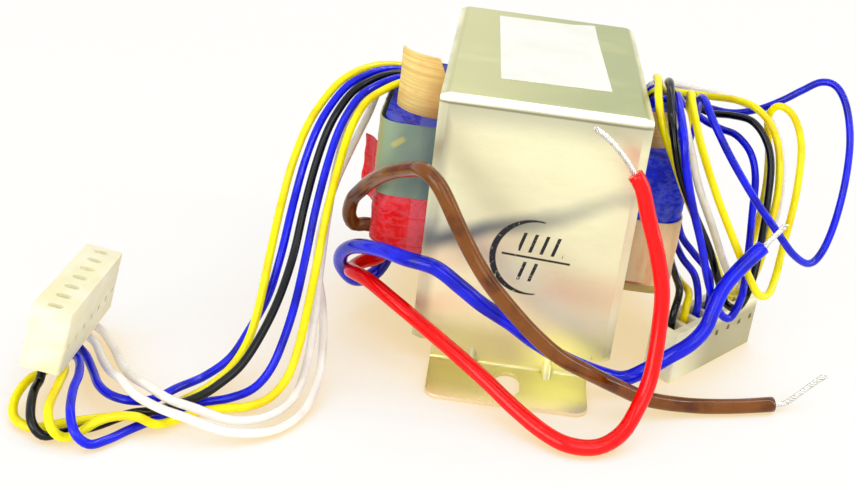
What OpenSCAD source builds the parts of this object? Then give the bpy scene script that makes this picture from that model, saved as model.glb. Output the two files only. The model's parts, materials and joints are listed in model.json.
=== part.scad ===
// Chassis-mount mains transformer: an E-I core in a folded steel clamp, a two-section
// coil, three thick primary leads and two bundles of thin leads that end in connectors.
// Millimetres. +X runs through the stack, -Y is the front, z = 0 is under the feet.

/* [Core] */
// Width of the centre leg
leg_w = 19; // [16:0.5:21]
// Width of each winding window
window_w = 9.5; // [8:0.5:11]
// Height of each winding window
window_h = 28.5; // [26:0.5:32]
// Width of the yokes and the outer limbs
limb_w = 9.5; // [8:0.5:11]
// Depth of the lamination stack
stack_d = 34; // [30:0.5:38]
// Diameter of the holes in the corners of the laminations
corner_hole_d = 3.5; // [2:0.1:5]

/* [Clamp] */
// Thickness of the steel sheet
sheet = 0.8; // [0.5:0.1:1.2]
// Reach of the clamp past the stack on each side
clamp_over = 1.75; // [1.7:0.05:3]
// Width of the swept-back strip along each edge
edge_w = 1.6; // [0.8:0.1:1.6]
// How far that strip slopes back
edge_drop = 0.5; // [0.2:0.05:0.55]
// Inside radius of the folds around the core
fold_r = 0.65; // [0.6:0.05:1]
// Height of the core above the mounting surface
stand_off = 4.8; // [4.2:0.1:8]
// Width of each foot
foot_w = 29.6; // [24:0.2:30]
// Reach of each foot from the wall
foot_len = 12.5; // [11:0.5:18]
// Radius of the corners of each foot
foot_corner_r = 2.5; // [1:0.5:5]
// Inside radius of the fold above each foot
foot_fold_r = 0.6; // [0.4:0.1:1]
// Width of the bolt slot
slot_w = 4.8; // [3.2:0.1:6]
// Length of the bolt slot
slot_len = 7.5; // [6.5:0.1:8]
// Distance from the wall to the centre of the slot
slot_set = 5.85; // [5.5:0.05:6.5]
// Distance of each pressed rib from the middle of the foot
rib_x = 7.2; // [4:0.2:10]
// Run of each pressed rib along the foot
rib_run = 3; // [2.6:0.1:3.2]
// Radius of the crest of each rib
rib_r = 0.9; // [0.8:0.05:1.1]
// Width of the tabs that fold under the core
tab_w = 3.4; // [2.4:0.1:3.6]
// Length of the tabs under the core
tab_len = 3; // [2:0.5:6]

/* [Coil] */
// Gap between the bobbin and the core
bobbin_fit = 0.2; // [0.1:0.05:0.3]
// Wall of the bobbin's tube
bobbin_wall = 1; // [0.8:0.1:1.5]
// Reach of the coil past the stack on each side
coil_over = 12; // [10:0.5:14]
// Corner radius of the coil
coil_r = 4; // [3:0.5:5]
// Thickness of the bobbin's bottom flange
base_flange_t = 1.8; // [1:0.1:2.4]
// Thickness of the bobbin's middle and top flanges
flange_t = 1; // [0.8:0.1:1.4]
// Share of the coil's height that the primary section takes
primary_share = 0.42; // [0.38:0.01:0.46]
// Thickness of the tape over each winding
tape_t = 0.4; // [0.2:0.1:0.6]
// Thickness of the film and paper wraps
wrap_t = 0.25; // [0.15:0.05:0.3]
// Reach of the paper wrap above the primary section
paper_over = 1.6; // [0.6:0.1:2]
// Reach of the film wrap below the middle flange
film_under = 0.2; // [0:0.1:1]
// Height of the loose tail of tape above the leads
tail_h = 12.5; // [6:0.5:14]
// Curl radius of that tail
tail_r = 12; // [8:0.5:16]
// Angle through which the tail curls away
tail_arc = 45; // [20:1:60]

/* [Cuffs] */
// Radius of the paper cuffs beside the leads
cuff_r = 9; // [7:0.5:9.5]
// Thickness of the cuff paper
cuff_t = 0.4; // [0.2:0.1:0.6]
// Gap between the top of the left cuff and the edge of the clamp
left_cuff_gap = 0.3; // [0.2:0.1:3]
// Height of the left cuff's curve above its tucked end
left_cuff_rise = 2.6; // [0:0.1:3]
// Gap between the top of the right cuff and the edge of the clamp
right_cuff_gap = 2.4; // [0.2:0.1:4]
// Angle of the left cuff's curve
left_cuff_arc = 65; // [30:1:66]
// Angle of the right cuff's curve
right_cuff_arc = 30; // [10:1:32]

/* [Label] */
// Width of the label
label_w = 20.5; // [12:0.5:26]
// Length of the label
label_len = 41.5; // [24:0.5:46]
// Thickness of the label
label_t = 0.12; // [0.08:0.02:0.2]
// Turn of the label on the clamp
label_turn = 2.4; // [-4:0.2:4]

/* [Connectors] */
// Distance between neighbouring ways
way_pitch = 3.96; // [3.96:0.02:4.4]
// Thickness of a housing
housing_t = 6.6; // [6:0.1:8]
// Height of a housing
housing_h = 11; // [10:0.5:13]
// Width of each contact cavity
cavity_w = 3; // [2.8:0.05:3.2]
// Depth of the section of each contact cavity
cavity_t = 3.6; // [3.2:0.1:4]
// Thickness of the mating wall
mating_t = 2.5; // [1.5:0.1:3]
// Side of each latch window
latch_w = 1.1; // [0.9:0.1:1.4]
// Distance from the entry face to the latch windows
latch_set = 4.3; // [4:0.1:5]
// Gap between a terminal and its cavity
terminal_fit = 0.3; // [0.2:0.05:0.4]

/* [Leads] */
// Diameter of the primary leads
fat_d = 2.8; // [2.4:0.1:2.8]
// Diameter of the thin leads
thin_d = 1.5; // [1.4:0.1:1.8]
// Diameter of the bare strand ends
strand_d = 1; // [0.8:0.1:1.5]

/* [Hidden] */
$fn = 48;
ways = 7;
lead_sides = 8;
// Rings along a lead lie at most this many diameters apart
ring_step = 3;
// Overlap of cutting solids past the faces that they cut
cut = 0.5;
// Gap between neighbouring layers of the coil
layer_gap = 0.05;

// Core and clamp
core_l = leg_w + 2 * window_w + 2 * limb_w;
core_h = window_h + 2 * limb_w;
window_z = stand_off + limb_w;
core_top = stand_off + core_h;
// Room in which the square edge of the core clears the inside of a fold
core_gap = fold_r * (1 - cos(45)) + 0.01;
inner_y = core_l / 2 + core_gap;
outer_y = inner_y + sheet;
inner_top = core_top + core_gap;
clamp_top = inner_top + sheet;
clamp_half = stack_d / 2 + clamp_over;
tab_top = stand_off - core_gap;
tab_fold_z = tab_top + fold_r;
foot_end = outer_y + foot_len;
slot_y = outer_y + slot_set;

// Coil
coil_bottom = window_z + bobbin_fit;
coil_top = window_z + window_h - bobbin_fit;
coil_x = stack_d / 2 + coil_over;
coil_y = leg_w / 2 + window_w - bobbin_fit;
tube_x = stack_d / 2 + bobbin_fit + bobbin_wall;
tube_y = leg_w / 2 + bobbin_fit + bobbin_wall;
primary_z = coil_bottom + base_flange_t;
primary_h = primary_share * (coil_top - coil_bottom);
middle_z = primary_z + primary_h;
secondary_z = middle_z + flange_t;
paper_h = primary_h + paper_over;
film_h = coil_top - middle_z + film_under;
tape_top_z = coil_top - tape_t;
top_flange_z = tape_top_z - layer_gap - flange_t;
// Wraps stop short of the stack
wrap_x = stack_d / 2 + 0.3;
winding_in = tape_t + 2 * layer_gap;
tail_z = primary_z + 5.2;
tail_y = -(coil_y - coil_r) + 2;

// Cuffs and label
cuff_x = clamp_half + 0.75;
cuff_y = -5.5;
cuff_room = inner_top - edge_drop - coil_top;
label_x = 0.7;
label_y = 3.55;

// Connector housings: length along the ways, and the terminals inside
housing_len = ways * way_pitch;
wire_stop = 1.5;
barrel_len = 2.4;
terminal_len = housing_h - mating_t - terminal_fit - wire_stop;
pin_w = 1.2;
mouth_w = 1.4;
mouth_len = 2.6;
// The left housing hangs on its leads, entry face down and tilted
left_at = [-76.5, -60, 7.5];
left_turn = [9, 6, 92];
// The right housing stands on the surface, entry face up
right_at = [38, -14.4];
right_turn = 47.5;

function about_x(v, a) = [v.x, v.y * cos(a) - v.z * sin(a), v.y * sin(a) + v.z * cos(a)];
function about_y(v, a) = [v.x * cos(a) + v.z * sin(a), v.y, v.z * cos(a) - v.x * sin(a)];
function about_z(v, a) = [v.x * cos(a) - v.y * sin(a), v.x * sin(a) + v.y * cos(a), v.z];
function turned(v, a) = about_z(about_y(about_x(v, a.x), a.y), a.z);

// A point on the axis of a way: j counts from the housing's first end, h is the depth
function left_way(j, h) = left_at + turned([way_pitch * (j + 0.5), 0, h], left_turn);
function right_way(j, h) =
    [right_at.x, right_at.y, housing_h - h] + about_z([way_pitch * (j - (ways - 1) / 2), 0, 0], right_turn);

// The last rise of a lead into the left housing and its drop into the right one
function left_rise(j) = [left_way(j, -2.5), left_way(j, wire_stop)];
function right_drop(j) = [right_way(j, -2.5), right_way(j, wire_stop)];

// Routes of the primary leads and their bare ends
brown_route = [
    [-29, -12.5, 18], [-31.2, -12.5, 18], [-33.2, -13, 18], [-34.2, -14.2, 20.6],
    [-33.6, -16, 24.6], [-32, -18.5, 27.8], [-29.5, -22, 31.8], [-26, -28, 36.5],
    [-22, -34.5, 40.5], [-19.5, -39, 42.5], [-17, -41, 41.5], [-15, -42, 39],
    [-12.5, -43, 35], [-9.5, -44, 30.5], [-6, -45.5, 26.5], [-2, -46, 22.5],
    [2.5, -46.5, 18.5], [7.5, -46, 14.5], [13.5, -43.5, 10.5], [19.5, -40.5, 6.5],
    [25.5, -38.5, 3.5], [34, -36, 1.8], [42, -34, 1.5], [50, -31.5, 1.5]];
brown_end = [[50, -31.5, 1.5], [52.4, -30.75, 1.5], [55, -29.6, 3.2], [57.6, -28.4, 5.2], [60, -27.5, 7]];
blue_route = [
    [-26, -9.5, 14.5], [-26, -9.5, 12], [-26.8, -10, 9], [-28.4, -11, 6.6],
    [-30.8, -12.6, 5.8], [-32.8, -14.4, 7], [-34.6, -17, 11], [-34, -20.4, 15.4],
    [-31.2, -24.6, 19.2], [-26, -31, 22.5], [-21, -36, 24], [-15.5, -38, 24],
    [-10.5, -38.5, 21], [-6.5, -39, 18.5], [-1, -38, 15], [4, -37.5, 11.5],
    [10.5, -36.5, 8], [17, -34.5, 5], [21.5, -32.5, 3.5], [25, -31.5, 5],
    [29, -32, 9], [32.5, -31.5, 12], [35, -29.5, 14.5], [36, -28, 17.5],
    [37.5, -26, 21.5], [40.5, -24, 25.5], [44, -22, 29]];
blue_end = [[44, -22, 29], [45.4, -21.2, 30.4], [46.8, -20.4, 31.9], [48, -19.6, 33.2]];
red_route = [
    [-27, -13.6, 14.5], [-27, -13.6, 12.6], [-28.4, -14.2, 11.6], [-30.4, -15.4, 11.4],
    [-31.6, -17.4, 11.4], [-32.2, -20, 11.6], [-31.2, -22.6, 12.6], [-28, -25.8, 13], [-23, -29.5, 11.7],
    [-18, -33, 10.2], [-11, -38.5, 8.4], [-4.5, -43.5, 6.4], [1, -47.5, 4.2], [6.5, -51, 2.4],
    [11, -53, 1.8], [16, -52.5, 1.8], [20, -50, 3.4], [22.5, -46.5, 6.5], [24, -44, 10.5], [24.5, -42, 15],
    [24.5, -40, 20.5], [24, -38.5, 26], [22, -37.5, 32.5], [19.5, -36.5, 38.5], [17.6, -35.9, 43.5],
    [16, -35.5, 45.5]];
red_end = [[16, -35.5, 45.5], [14.4, -35.1, 47.5], [12.4, -34.4, 49.4], [10.2, -33.7, 51], [8, -33, 52]];

// The left leads leave side by side: the middle one's route, and the step to its neighbour
left_guide = [
    [-25, 0.5, 42.6], [-25, 0.5, 44.4], [-26.6, 0.2, 45.6], [-29.6, -1.8, 46], [-33, -5, 45.4],
    [-36, -9, 44], [-38, -13, 41.4], [-39.4, -17, 38], [-40.3, -22, 33.2], [-40.8, -28, 27.4]];
left_step = [
    [0, -2.1, 0], [0, -2.1, 0], [0.4, -2.1, 0], [0.9, -1.9, -0.2], [1.2, -1.6, -0.4],
    [1.5, -1.4, -0.3], [1.8, -1, -0.1], [2, -0.5, 0], [2.1, -0.1, 0], [2.1, 0, 0]];
function left_lane(k) = [for (i = [0 : len(left_guide) - 1]) left_guide[i] + k * left_step[i]];
left_yellow_1 = concat(
    left_lane(-2), [
        [-45.2, -34.5, 20.6], [-45.4, -39.6, 14], [-46, -43.6, 9], [-47.6, -46.8, 5.4], [-50.4, -49.8, 2.6],
        [-54, -53.4, 1.3], [-58, -57.6, 1], [-62, -59.8, 1], [-66, -61.4, 1], [-70.6, -63.6, 1],
        [-75, -66, 1], [-78.4, -65, 1.6], [-79.8, -61.6, 2.6], [-79.2, -57.6, 3.8]], left_rise(1));
left_blue_1 = concat(
    left_lane(-1), [
        [-43.4, -34, 20], [-44.6, -37.4, 13.4], [-46.8, -41, 8.4], [-49, -44.8, 4.8], [-52.4, -48.4, 2.8],
        [-55.8, -53, 2.9], [-58.6, -57.2, 3], [-62, -58.4, 3], [-65.6, -57.6, 3], [-68.5, -55, 2.8],
        [-71, -50.6, 2.2], [-73.8, -46.2, 2.2]], left_rise(4));
left_black = concat(
    left_lane(0), [
        [-41, -35, 21], [-42, -41, 15.4], [-43.8, -46, 10.6], [-46, -49.6, 6.8], [-48.6, -52.2, 4.6],
        [-51.4, -54.8, 3.2], [-55, -58, 2.9], [-58.2, -60.4, 2.9], [-61.4, -61.4, 2.5], [-66, -63.8, 1.1],
        [-70.4, -66.4, 1], [-72.8, -68, 1.3], [-74.8, -67.2, 3], [-76, -64.4, 4.2],
        [-76.8, -61, 4.6]], left_rise(0));
left_blue_2 = concat(
    left_lane(1), [
        [-38.8, -35, 21], [-39, -41, 15.4], [-39.8, -45.6, 10.4], [-41.2, -48.6, 6], [-43.6, -50.6, 3],
        [-47.4, -52, 1.4], [-51.4, -53.8, 1.1], [-55, -57.4, 1], [-58.2, -60.6, 1], [-60.6, -63.4, 1],
        [-63, -66.6, 1], [-65.2, -68.8, 1.4], [-67.4, -68.8, 3.3], [-69.2, -65.8, 4.9], [-70.9, -60, 4.9],
        [-71.8, -55, 4.5], [-73.8, -50, 4]], left_rise(3));
left_yellow_2 = concat(
    left_lane(2), [
        [-36.6, -35, 21], [-36.7, -41.5, 15], [-37, -46.4, 10], [-38, -49.6, 5.6], [-40.4, -52, 2.6],
        [-44, -53.6, 1.3], [-48, -54.6, 1], [-52, -56.8, 1], [-54.8, -59.8, 1], [-57, -62, 1.7],
        [-59.4, -62.8, 3.2], [-62.4, -63.6, 3.5], [-65, -65, 3.1], [-68.8, -67.6, 1.3], [-71, -68.6, 3.1],
        [-72.6, -66, 5.1], [-73.6, -59, 5], [-74.6, -54, 4.5]], left_rise(2));
left_white_1 = concat([
    [-25, 7.5, 42.6], [-25, 7.5, 44.4], [-26.4, 7.4, 45.6], [-28.8, 6, 44.9], [-32, 1.5, 43.2],
    [-34.5, -6, 41], [-36.3, -11.5, 37.4], [-37, -17.5, 31.6], [-37, -24, 24.5], [-36.6, -31, 17.2],
    [-36, -37.5, 11], [-35.6, -44, 6], [-36.4, -50.6, 2.6], [-39.8, -56.4, 2], [-45, -59.8, 2.8],
    [-51, -60.6, 4.8], [-55.5, -59.6, 5.2], [-59.6, -57, 5.3], [-63.4, -53, 3.8], [-66.8, -47.6, 1.8],
    [-70.4, -41.6, 1.3], [-74, -37, 1.5]], left_rise(6));
left_white_2 = concat([
    [-25, 10, 42.6], [-25, 10, 44.2], [-26.4, 9.9, 45.4], [-28.8, 8.4, 44.6], [-32.2, 3.6, 41.2],
    [-33.5, -3.5, 37.5], [-35.4, -8, 32.5], [-37.4, -13, 26.5], [-38.4, -19, 20.5], [-38, -26, 15.5],
    [-35.4, -33, 11], [-33.8, -39.5, 7], [-33.2, -46, 3.6], [-34.4, -52.6, 1.4], [-38.2, -58.8, 1.2],
    [-44.8, -62.4, 2.4], [-51.5, -63.2, 4.6], [-56.5, -62, 5], [-61, -59.6, 5.2], [-64.8, -55.4, 4.9],
    [-68.2, -50.4, 2.7], [-71.2, -45.6, 1.6], [-74, -41.2, 1.8]], left_rise(5));

// The right leads loop out, turn up in front of the coil, pass over it and come down behind
right_yellow_1 = concat([
    [23, 13.4, 42.6], [23, 13.4, 44], [24.6, 13.8, 45], [28, 14.8, 44.8], [31.8, 14.8, 44.8],
    [35.8, 11.8, 45.8], [39.6, 7.4, 47.2], [43, 4.2, 47.2], [46.4, 2.2, 44.6], [48.6, 0, 40],
    [49.2, -4, 33], [48, -8.5, 26.5], [46.6, -12.4, 20.5], [44.6, -15, 16.8], [41.6, -17, 16],
    [39, -18.6, 18.5], [36, -19.6, 24], [32.2, -20.6, 30], [27.8, -21.2, 37.3], [24.3, -21.4, 44],
    [21.6, -20.4, 49], [20.3, -17.4, 53.4], [20.4, -12, 55.2], [20.8, -6, 53.8], [22.6, 0.4, 50.4],
    [26, 6, 47], [30, 8.8, 43.8], [31.2, 9, 39.4], [31, 8.8, 31], [31, 8.2, 24], [31, 6, 17.6],
    [31, 2, 14.2], [31.4, -4, 13.4], [32.2, -10.4, 14], [33.2, -17, 15]], right_drop(1));
right_black = concat([
    [23, 11.4, 42.6], [23, 11.4, 43.9], [24.6, 11.8, 44.7], [28, 12.8, 44.3], [31.6, 12.9, 43.2],
    [35.4, 10, 42.8], [39, 5.6, 44.4], [42.4, 2, 45], [45.2, -0.4, 42.6], [46.8, -2.8, 38.5],
    [46.9, -6.6, 32], [46, -12.4, 25], [44.6, -17.4, 18.4], [42.6, -19.8, 14.6], [39.8, -20.6, 15.6],
    [37.6, -21.4, 20], [34, -22.6, 27.5], [29.8, -23.6, 34.5], [26, -24, 41.5], [23.8, -23.2, 47.5],
    [22.5, -19, 52.6], [22.6, -12.6, 55], [23.2, -6, 53.2], [25.4, 0, 49.4], [29, 4.8, 45.2],
    [30.9, 6.8, 41.2], [31.1, 6.6, 36], [31, 6.6, 29], [31, 5.2, 22], [31, 2, 16.8], [30.9, -4, 15.4],
    [30.9, -12, 15.8], [31, -19, 16]], right_drop(0));
right_blue_1 = concat([
    [23, 9.4, 42.6], [23, 9.4, 43.8], [24.6, 9.8, 44.5], [28, 10.8, 44], [31.4, 10.9, 42.6],
    [34.6, 8.4, 41.4], [37.4, 5, 41.4], [40, 1.8, 41.6], [42.8, -1, 39.4], [44.2, -3.6, 35.4],
    [44, -8.6, 29.6], [43.6, -14.4, 23], [42.6, -20.4, 17.6], [40.4, -23.8, 14.2], [37.4, -24.6, 16.4],
    [34.6, -24.9, 22], [31.6, -26, 30], [28.5, -26.6, 37.5], [26.1, -26, 44.5], [24.9, -23.3, 49.8],
    [24.3, -14, 53], [25.5, -7, 51], [27.6, -1, 47.4], [29.8, 3.2, 43.4], [31, 4.6, 39], [31, 4.4, 29],
    [31.1, 3, 22.6], [31.4, -0.4, 18.6], [32.6, -6.6, 17.2], [34.6, -13, 16.6]], right_drop(2));
right_blue_2 = concat([
    [23, 15.4, 42.6], [23, 15.4, 44], [24.6, 15.9, 44.8], [28.4, 16.8, 43.8], [34, 15.6, 42.4],
    [40, 12, 42.8], [45, 10, 45], [49, 8.6, 48], [52.4, 7.8, 51], [55.4, 6.6, 53.6], [58.2, 5, 53.6],
    [60.6, 3, 50.2], [62, 0, 44.2], [61.8, -4, 37], [60.6, -7.7, 29.6], [58.6, -10.8, 24.4],
    [55.8, -13.4, 22.8], [51.6, -15.8, 25.5], [46.8, -17.2, 30.8], [41.8, -17.4, 36.2], [36.2, -16.4, 43],
    [32, -13.8, 48.8], [30.2, -9, 51.6], [30, -4, 50], [30.9, 0.2, 45.6], [31, 2.3, 40], [31, 2.2, 30],
    [31.2, 0.6, 24], [32.2, -3, 20.4], [34.6, -7.4, 18.8], [37.4, -11.6, 17]], right_drop(3));
right_yellow_2 = concat([
    [28, -8.5, 42.6], [28, -8.5, 44.8], [27.8, -8.4, 48.6], [27.3, -9.2, 52], [27, -11.2, 53.2],
    [27.2, -14, 52], [28.6, -17.4, 48], [30.2, -18.6, 44.4], [34, -19.8, 37], [39, -20.5, 28.4],
    [43, -21.4, 22], [45.5, -21.4, 18.7], [47.8, -19.6, 18.3], [49.4, -15.8, 20.5], [50.8, -11, 24.5],
    [52.6, -5, 33], [52.8, 0, 41.6], [51, 4, 46.4], [48, 6, 47.6], [46.6, 6.6, 44.6], [47.6, 4.8, 39],
    [47.8, 1, 33], [47, -3, 26.5], [45.2, -7.2, 19]], right_drop(5));
right_white_1 = concat([
    [25, -11, 42.6], [25, -11, 44.6], [25.2, -11.4, 48], [25.3, -13, 50.2], [25.6, -15, 50.6],
    [26.2, -17, 48.8], [27.2, -17.8, 46.2], [28.2, -18.3, 43.8], [29.2, -18.6, 41], [31, -18.8, 37],
    [34.6, -18, 30.2], [38, -16.4, 23.5], [41, -14, 17.5]], right_drop(4));
right_white_2 = concat([
    [23, 17.4, 42.6], [23, 17.4, 44.2], [24.6, 17.8, 45.2], [28, 18.8, 45], [32, 19, 44.8], [38, 17.4, 44.6],
    [44, 14, 44.2], [48.4, 10.4, 42.4], [50.6, 6, 38], [51, 1, 32], [50.4, -2.6, 26],
    [48.4, -5.2, 19]], right_drop(6));

// A rectangle with rounded corners, given by its half sizes
module rounded(x, y, r) {
    square([2 * x, 2 * (y - r)], center = true);
    square([2 * (x - r), 2 * y], center = true);
    for (sx = [-1, 1], sy = [-1, 1])
        translate([sx * (x - r), sy * (y - r)])
            circle(r);
}

// A slot with round ends, along X
module round_slot(length, w) {
    square([length - w, w], center = true);
    for (s = [-1, 1])
        translate([s * (length - w) / 2, 0])
            circle(d = w);
}

// The outline of the coil, drawn in from its flanges or out from them
module coil_outline(inset = 0) {
    rounded(coil_x - inset, coil_y - inset, coil_r - inset);
}

// A closed band that runs round the coil
module coil_band(z0, z1, inset, t) {
    translate([0, 0, z0])
        linear_extrude(z1 - z0)
            difference() {
                coil_outline(inset);
                coil_outline(inset + t);
            }
}

// Keeps what stands out of the stack on one side, -1 for the left
module one_side(side) {
    reach = coil_x + cut;
    intersection() {
        children();
        translate([side < 0 ? -wrap_x - reach : wrap_x, -reach, 0])
            cube([reach, 2 * reach, 2 * clamp_top]);
    }
}

// Cross-section of the clamp's sheet: across the clamp, and out from its inner face
module sheet_profile() {
    a = clamp_half;
    b = clamp_half - edge_w;
    polygon([
        [-a, -edge_drop], [-b, 0], [b, 0], [a, -edge_drop],
        [a, sheet - edge_drop], [b, sheet], [-b, sheet], [-a, sheet - edge_drop]]);
}

// The two outer strips of that section, which carry on as tabs
module tab_profile() {
    intersection() {
        sheet_profile();
        for (s = [-1, 1])
            translate([s * (clamp_half - tab_w / 2), 0])
                square([tab_w, 4 * sheet], center = true);
    }
}

// Turns a section of the sheet through a right angle about the inside of a fold
module fold(r) {
    rotate_extrude(angle = 90)
        translate([r, 0])
            rotate(-90)
                children();
}

module foot_outline() {
    r = foot_corner_r;
    difference() {
        translate([0, -(outer_y + foot_fold_r + foot_end) / 2])
            union() {
                run = foot_end - outer_y - foot_fold_r;
                translate([0, r / 2])
                    square([foot_w, run - r], center = true);
                translate([0, -run / 2 + r / 2])
                    square([foot_w - 2 * r, r], center = true);
                for (s = [-1, 1])
                    translate([s * (foot_w / 2 - r), -run / 2 + r])
                        intersection() {
                            circle(r);
                            translate([-r, -r])
                                square([2 * r, r]);
                        }
            }
        translate([0, -slot_y])
            rotate(90)
                round_slot(slot_len, slot_w);
    }
}

// Stands its children in the corner above a foot: Z along the rib, -Y out of the corner
module in_corner() {
    translate([0, -outer_y, sheet])
        rotate([-45, 0, 0])
            children();
}

// A rib's crest runs from the wall to the foot, and its foot stays inside the sheet
module rib() {
    crest = rib_run / sqrt(2);
    intersection() {
        in_corner()
            translate([0, rib_r - crest, 0])
                cylinder(r = rib_r, h = 3 * rib_run, center = true);
        translate([-rib_r, -outer_y - 2 * rib_run, sheet / 2])
            cube([2 * rib_r, 2 * rib_run + sheet / 2, 2 * rib_run]);
    }
}

// The groove that pressing leaves behind a rib
module rib_groove() {
    r = rib_r / 2;
    crest = rib_run / sqrt(2) - sheet;
    in_corner() {
        translate([0, r - crest, 0])
            cylinder(r = r, h = 3 * rib_run, center = true);
        translate([-r, r - crest, -3 * rib_run / 2])
            cube([2 * r, crest - r + 2 * sheet, 3 * rib_run]);
    }
}

// Wall, foot and tabs at the front, folded from one sheet
module clamp_sheet() {
    wall_h = inner_top - fold_r - tab_fold_z;
    neck_z = sheet + foot_fold_r;
    translate([0, -inner_y, tab_fold_z])
        mirror([0, 1, 0])
            linear_extrude(wall_h)
                sheet_profile();
    translate([0, fold_r - inner_y, tab_fold_z])
        rotate([-90, 0, -90])
            fold(fold_r)
                tab_profile();
    translate([0, fold_r - inner_y, tab_top])
        rotate([-90, 0, 0])
            linear_extrude(tab_len)
                tab_profile();
    translate([-foot_w / 2, -outer_y, neck_z])
        cube([foot_w, sheet, tab_fold_z - neck_z]);
    translate([0, -outer_y - foot_fold_r, neck_z])
        rotate([-90, 0, 90])
            fold(foot_fold_r)
                translate([-foot_w / 2, 0])
                    square([foot_w, sheet]);
    linear_extrude(sheet)
        foot_outline();
    translate([0, fold_r - inner_y, inner_top - fold_r])
        rotate([90, 0, -90])
            fold(fold_r)
                sheet_profile();
}

// The front of the clamp with its two pressed ribs
module clamp_side() {
    difference() {
        union() {
            clamp_sheet();
            for (s = [-1, 1])
                translate([s * rib_x, 0, 0])
                    rib();
        }
        for (s = [-1, 1])
            translate([s * rib_x, 0, 0])
                rib_groove();
    }
}

module clamp_frame() {
    flat = 2 * (inner_y - fold_r);
    color("lightgoldenrodyellow") {
        clamp_side();
        mirror([0, 1, 0])
            clamp_side();
        translate([0, flat / 2, inner_top])
            rotate([90, 0, 0])
                linear_extrude(flat)
                    sheet_profile();
    }
}

// Extrudes an outline of Y and Z through the lamination stack
module through_stack() {
    translate([-stack_d / 2, 0, 0])
        rotate([90, 0, 90])
            linear_extrude(stack_d)
                children();
}

module corner_holes(z) {
    for (s = [-1, 1])
        translate([s * (core_l - limb_w) / 2, z])
            circle(d = corner_hole_d);
}

module e_laminations() {
    color("dimgray")
        through_stack()
            difference() {
                translate([-core_l / 2, window_z])
                    square([core_l, window_h + limb_w]);
                for (s = [-1, 1])
                    translate([s * (leg_w + window_w) / 2, window_z + (window_h - cut) / 2])
                        square([window_w, window_h + cut], center = true);
                corner_holes(core_top - limb_w / 2);
            }
}

module i_laminations() {
    color("gray")
        through_stack()
            difference() {
                translate([-core_l / 2, stand_off])
                    square([core_l, limb_w]);
                corner_holes(stand_off + limb_w / 2);
            }
}

module bobbin() {
    color("palegoldenrod")
        difference() {
            union() {
                translate([0, 0, coil_bottom])
                    linear_extrude(base_flange_t)
                        coil_outline();
                translate([0, 0, middle_z])
                    linear_extrude(flange_t)
                        coil_outline(layer_gap);
                translate([0, 0, top_flange_z])
                    linear_extrude(flange_t)
                        coil_outline(tape_t + layer_gap);
                translate([-tube_x, -tube_y, coil_bottom])
                    cube([2 * tube_x, 2 * tube_y, top_flange_z + flange_t - coil_bottom]);
            }
            translate([-tube_x + bobbin_wall, -tube_y + bobbin_wall, coil_bottom - cut])
                cube([2 * (tube_x - bobbin_wall), 2 * (tube_y - bobbin_wall), window_h + 2 * cut]);
        }
}

// Turns of wire that fill a section of the bobbin, as one solid
module winding(z0, z1) {
    translate([0, 0, z0])
        linear_extrude(z1 - z0)
            difference() {
                coil_outline(winding_in);
                square([2 * (tube_x + layer_gap), 2 * (tube_y + layer_gap)], center = true);
            }
}

module primary_winding() {
    color("sienna")
        winding(primary_z + layer_gap, middle_z - layer_gap);
}

module secondary_winding() {
    color("peru")
        winding(secondary_z + layer_gap, top_flange_z - layer_gap);
}

module primary_tape() {
    color("red")
        coil_band(primary_z + layer_gap, middle_z - layer_gap, layer_gap, tape_t);
}

// The tape of the secondary also covers the top of the coil outside the stack
module secondary_tape() {
    color("mediumblue") {
        coil_band(secondary_z + layer_gap, coil_top, 0, tape_t);
        for (side = [-1, 1])
            one_side(side)
                translate([0, 0, tape_top_z])
                    linear_extrude(tape_t)
                        coil_outline();
    }
}

module film_wrap() {
    color("gainsboro")
        one_side(-1)
            coil_band(coil_top - film_h, coil_top, -layer_gap - wrap_t, wrap_t);
}

module paper_wrap() {
    color("navajowhite")
        one_side(1)
            coil_band(primary_z + layer_gap, primary_z + paper_h, -layer_gap - wrap_t, wrap_t);
}

// The loose end of the primary's tape curls away from the left of the coil
module tape_tail() {
    color("crimson")
        translate([-coil_x - 2 * layer_gap - wrap_t - tail_r, tail_y, tail_z])
            rotate_extrude(angle = tail_arc)
                translate([tail_r - wrap_t, 0])
                    square([wrap_t, tail_h]);
}

// A strip of stiff paper that stands on the coil, straight by the stack and then curved
module cuff(side, h, rise, arc) {
    translate([side * cuff_x, cuff_y, coil_top])
        mirror([side < 0 ? 1 : 0, 0, 0]) {
            rotate([0, 0, -90])
                rotate_extrude(angle = arc)
                    translate([cuff_r - cuff_t, 0])
                        square([cuff_t, h + rise]);
            translate([wrap_x - cuff_x, -cuff_r, 0])
                cube([cuff_x - wrap_x, cuff_t, h]);
        }
}

module left_cuff() {
    color("burlywood")
        cuff(-1, cuff_room - left_cuff_gap, left_cuff_rise, left_cuff_arc);
}

module right_cuff() {
    color("burlywood")
        cuff(1, cuff_room - right_cuff_gap, 0, right_cuff_arc);
}

module top_label() {
    color("white")
        translate([label_x, label_y, clamp_top])
            rotate(label_turn)
                translate([-label_w / 2, -label_len / 2, 0])
                    cube([label_w, label_len, label_t]);
}

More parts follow.
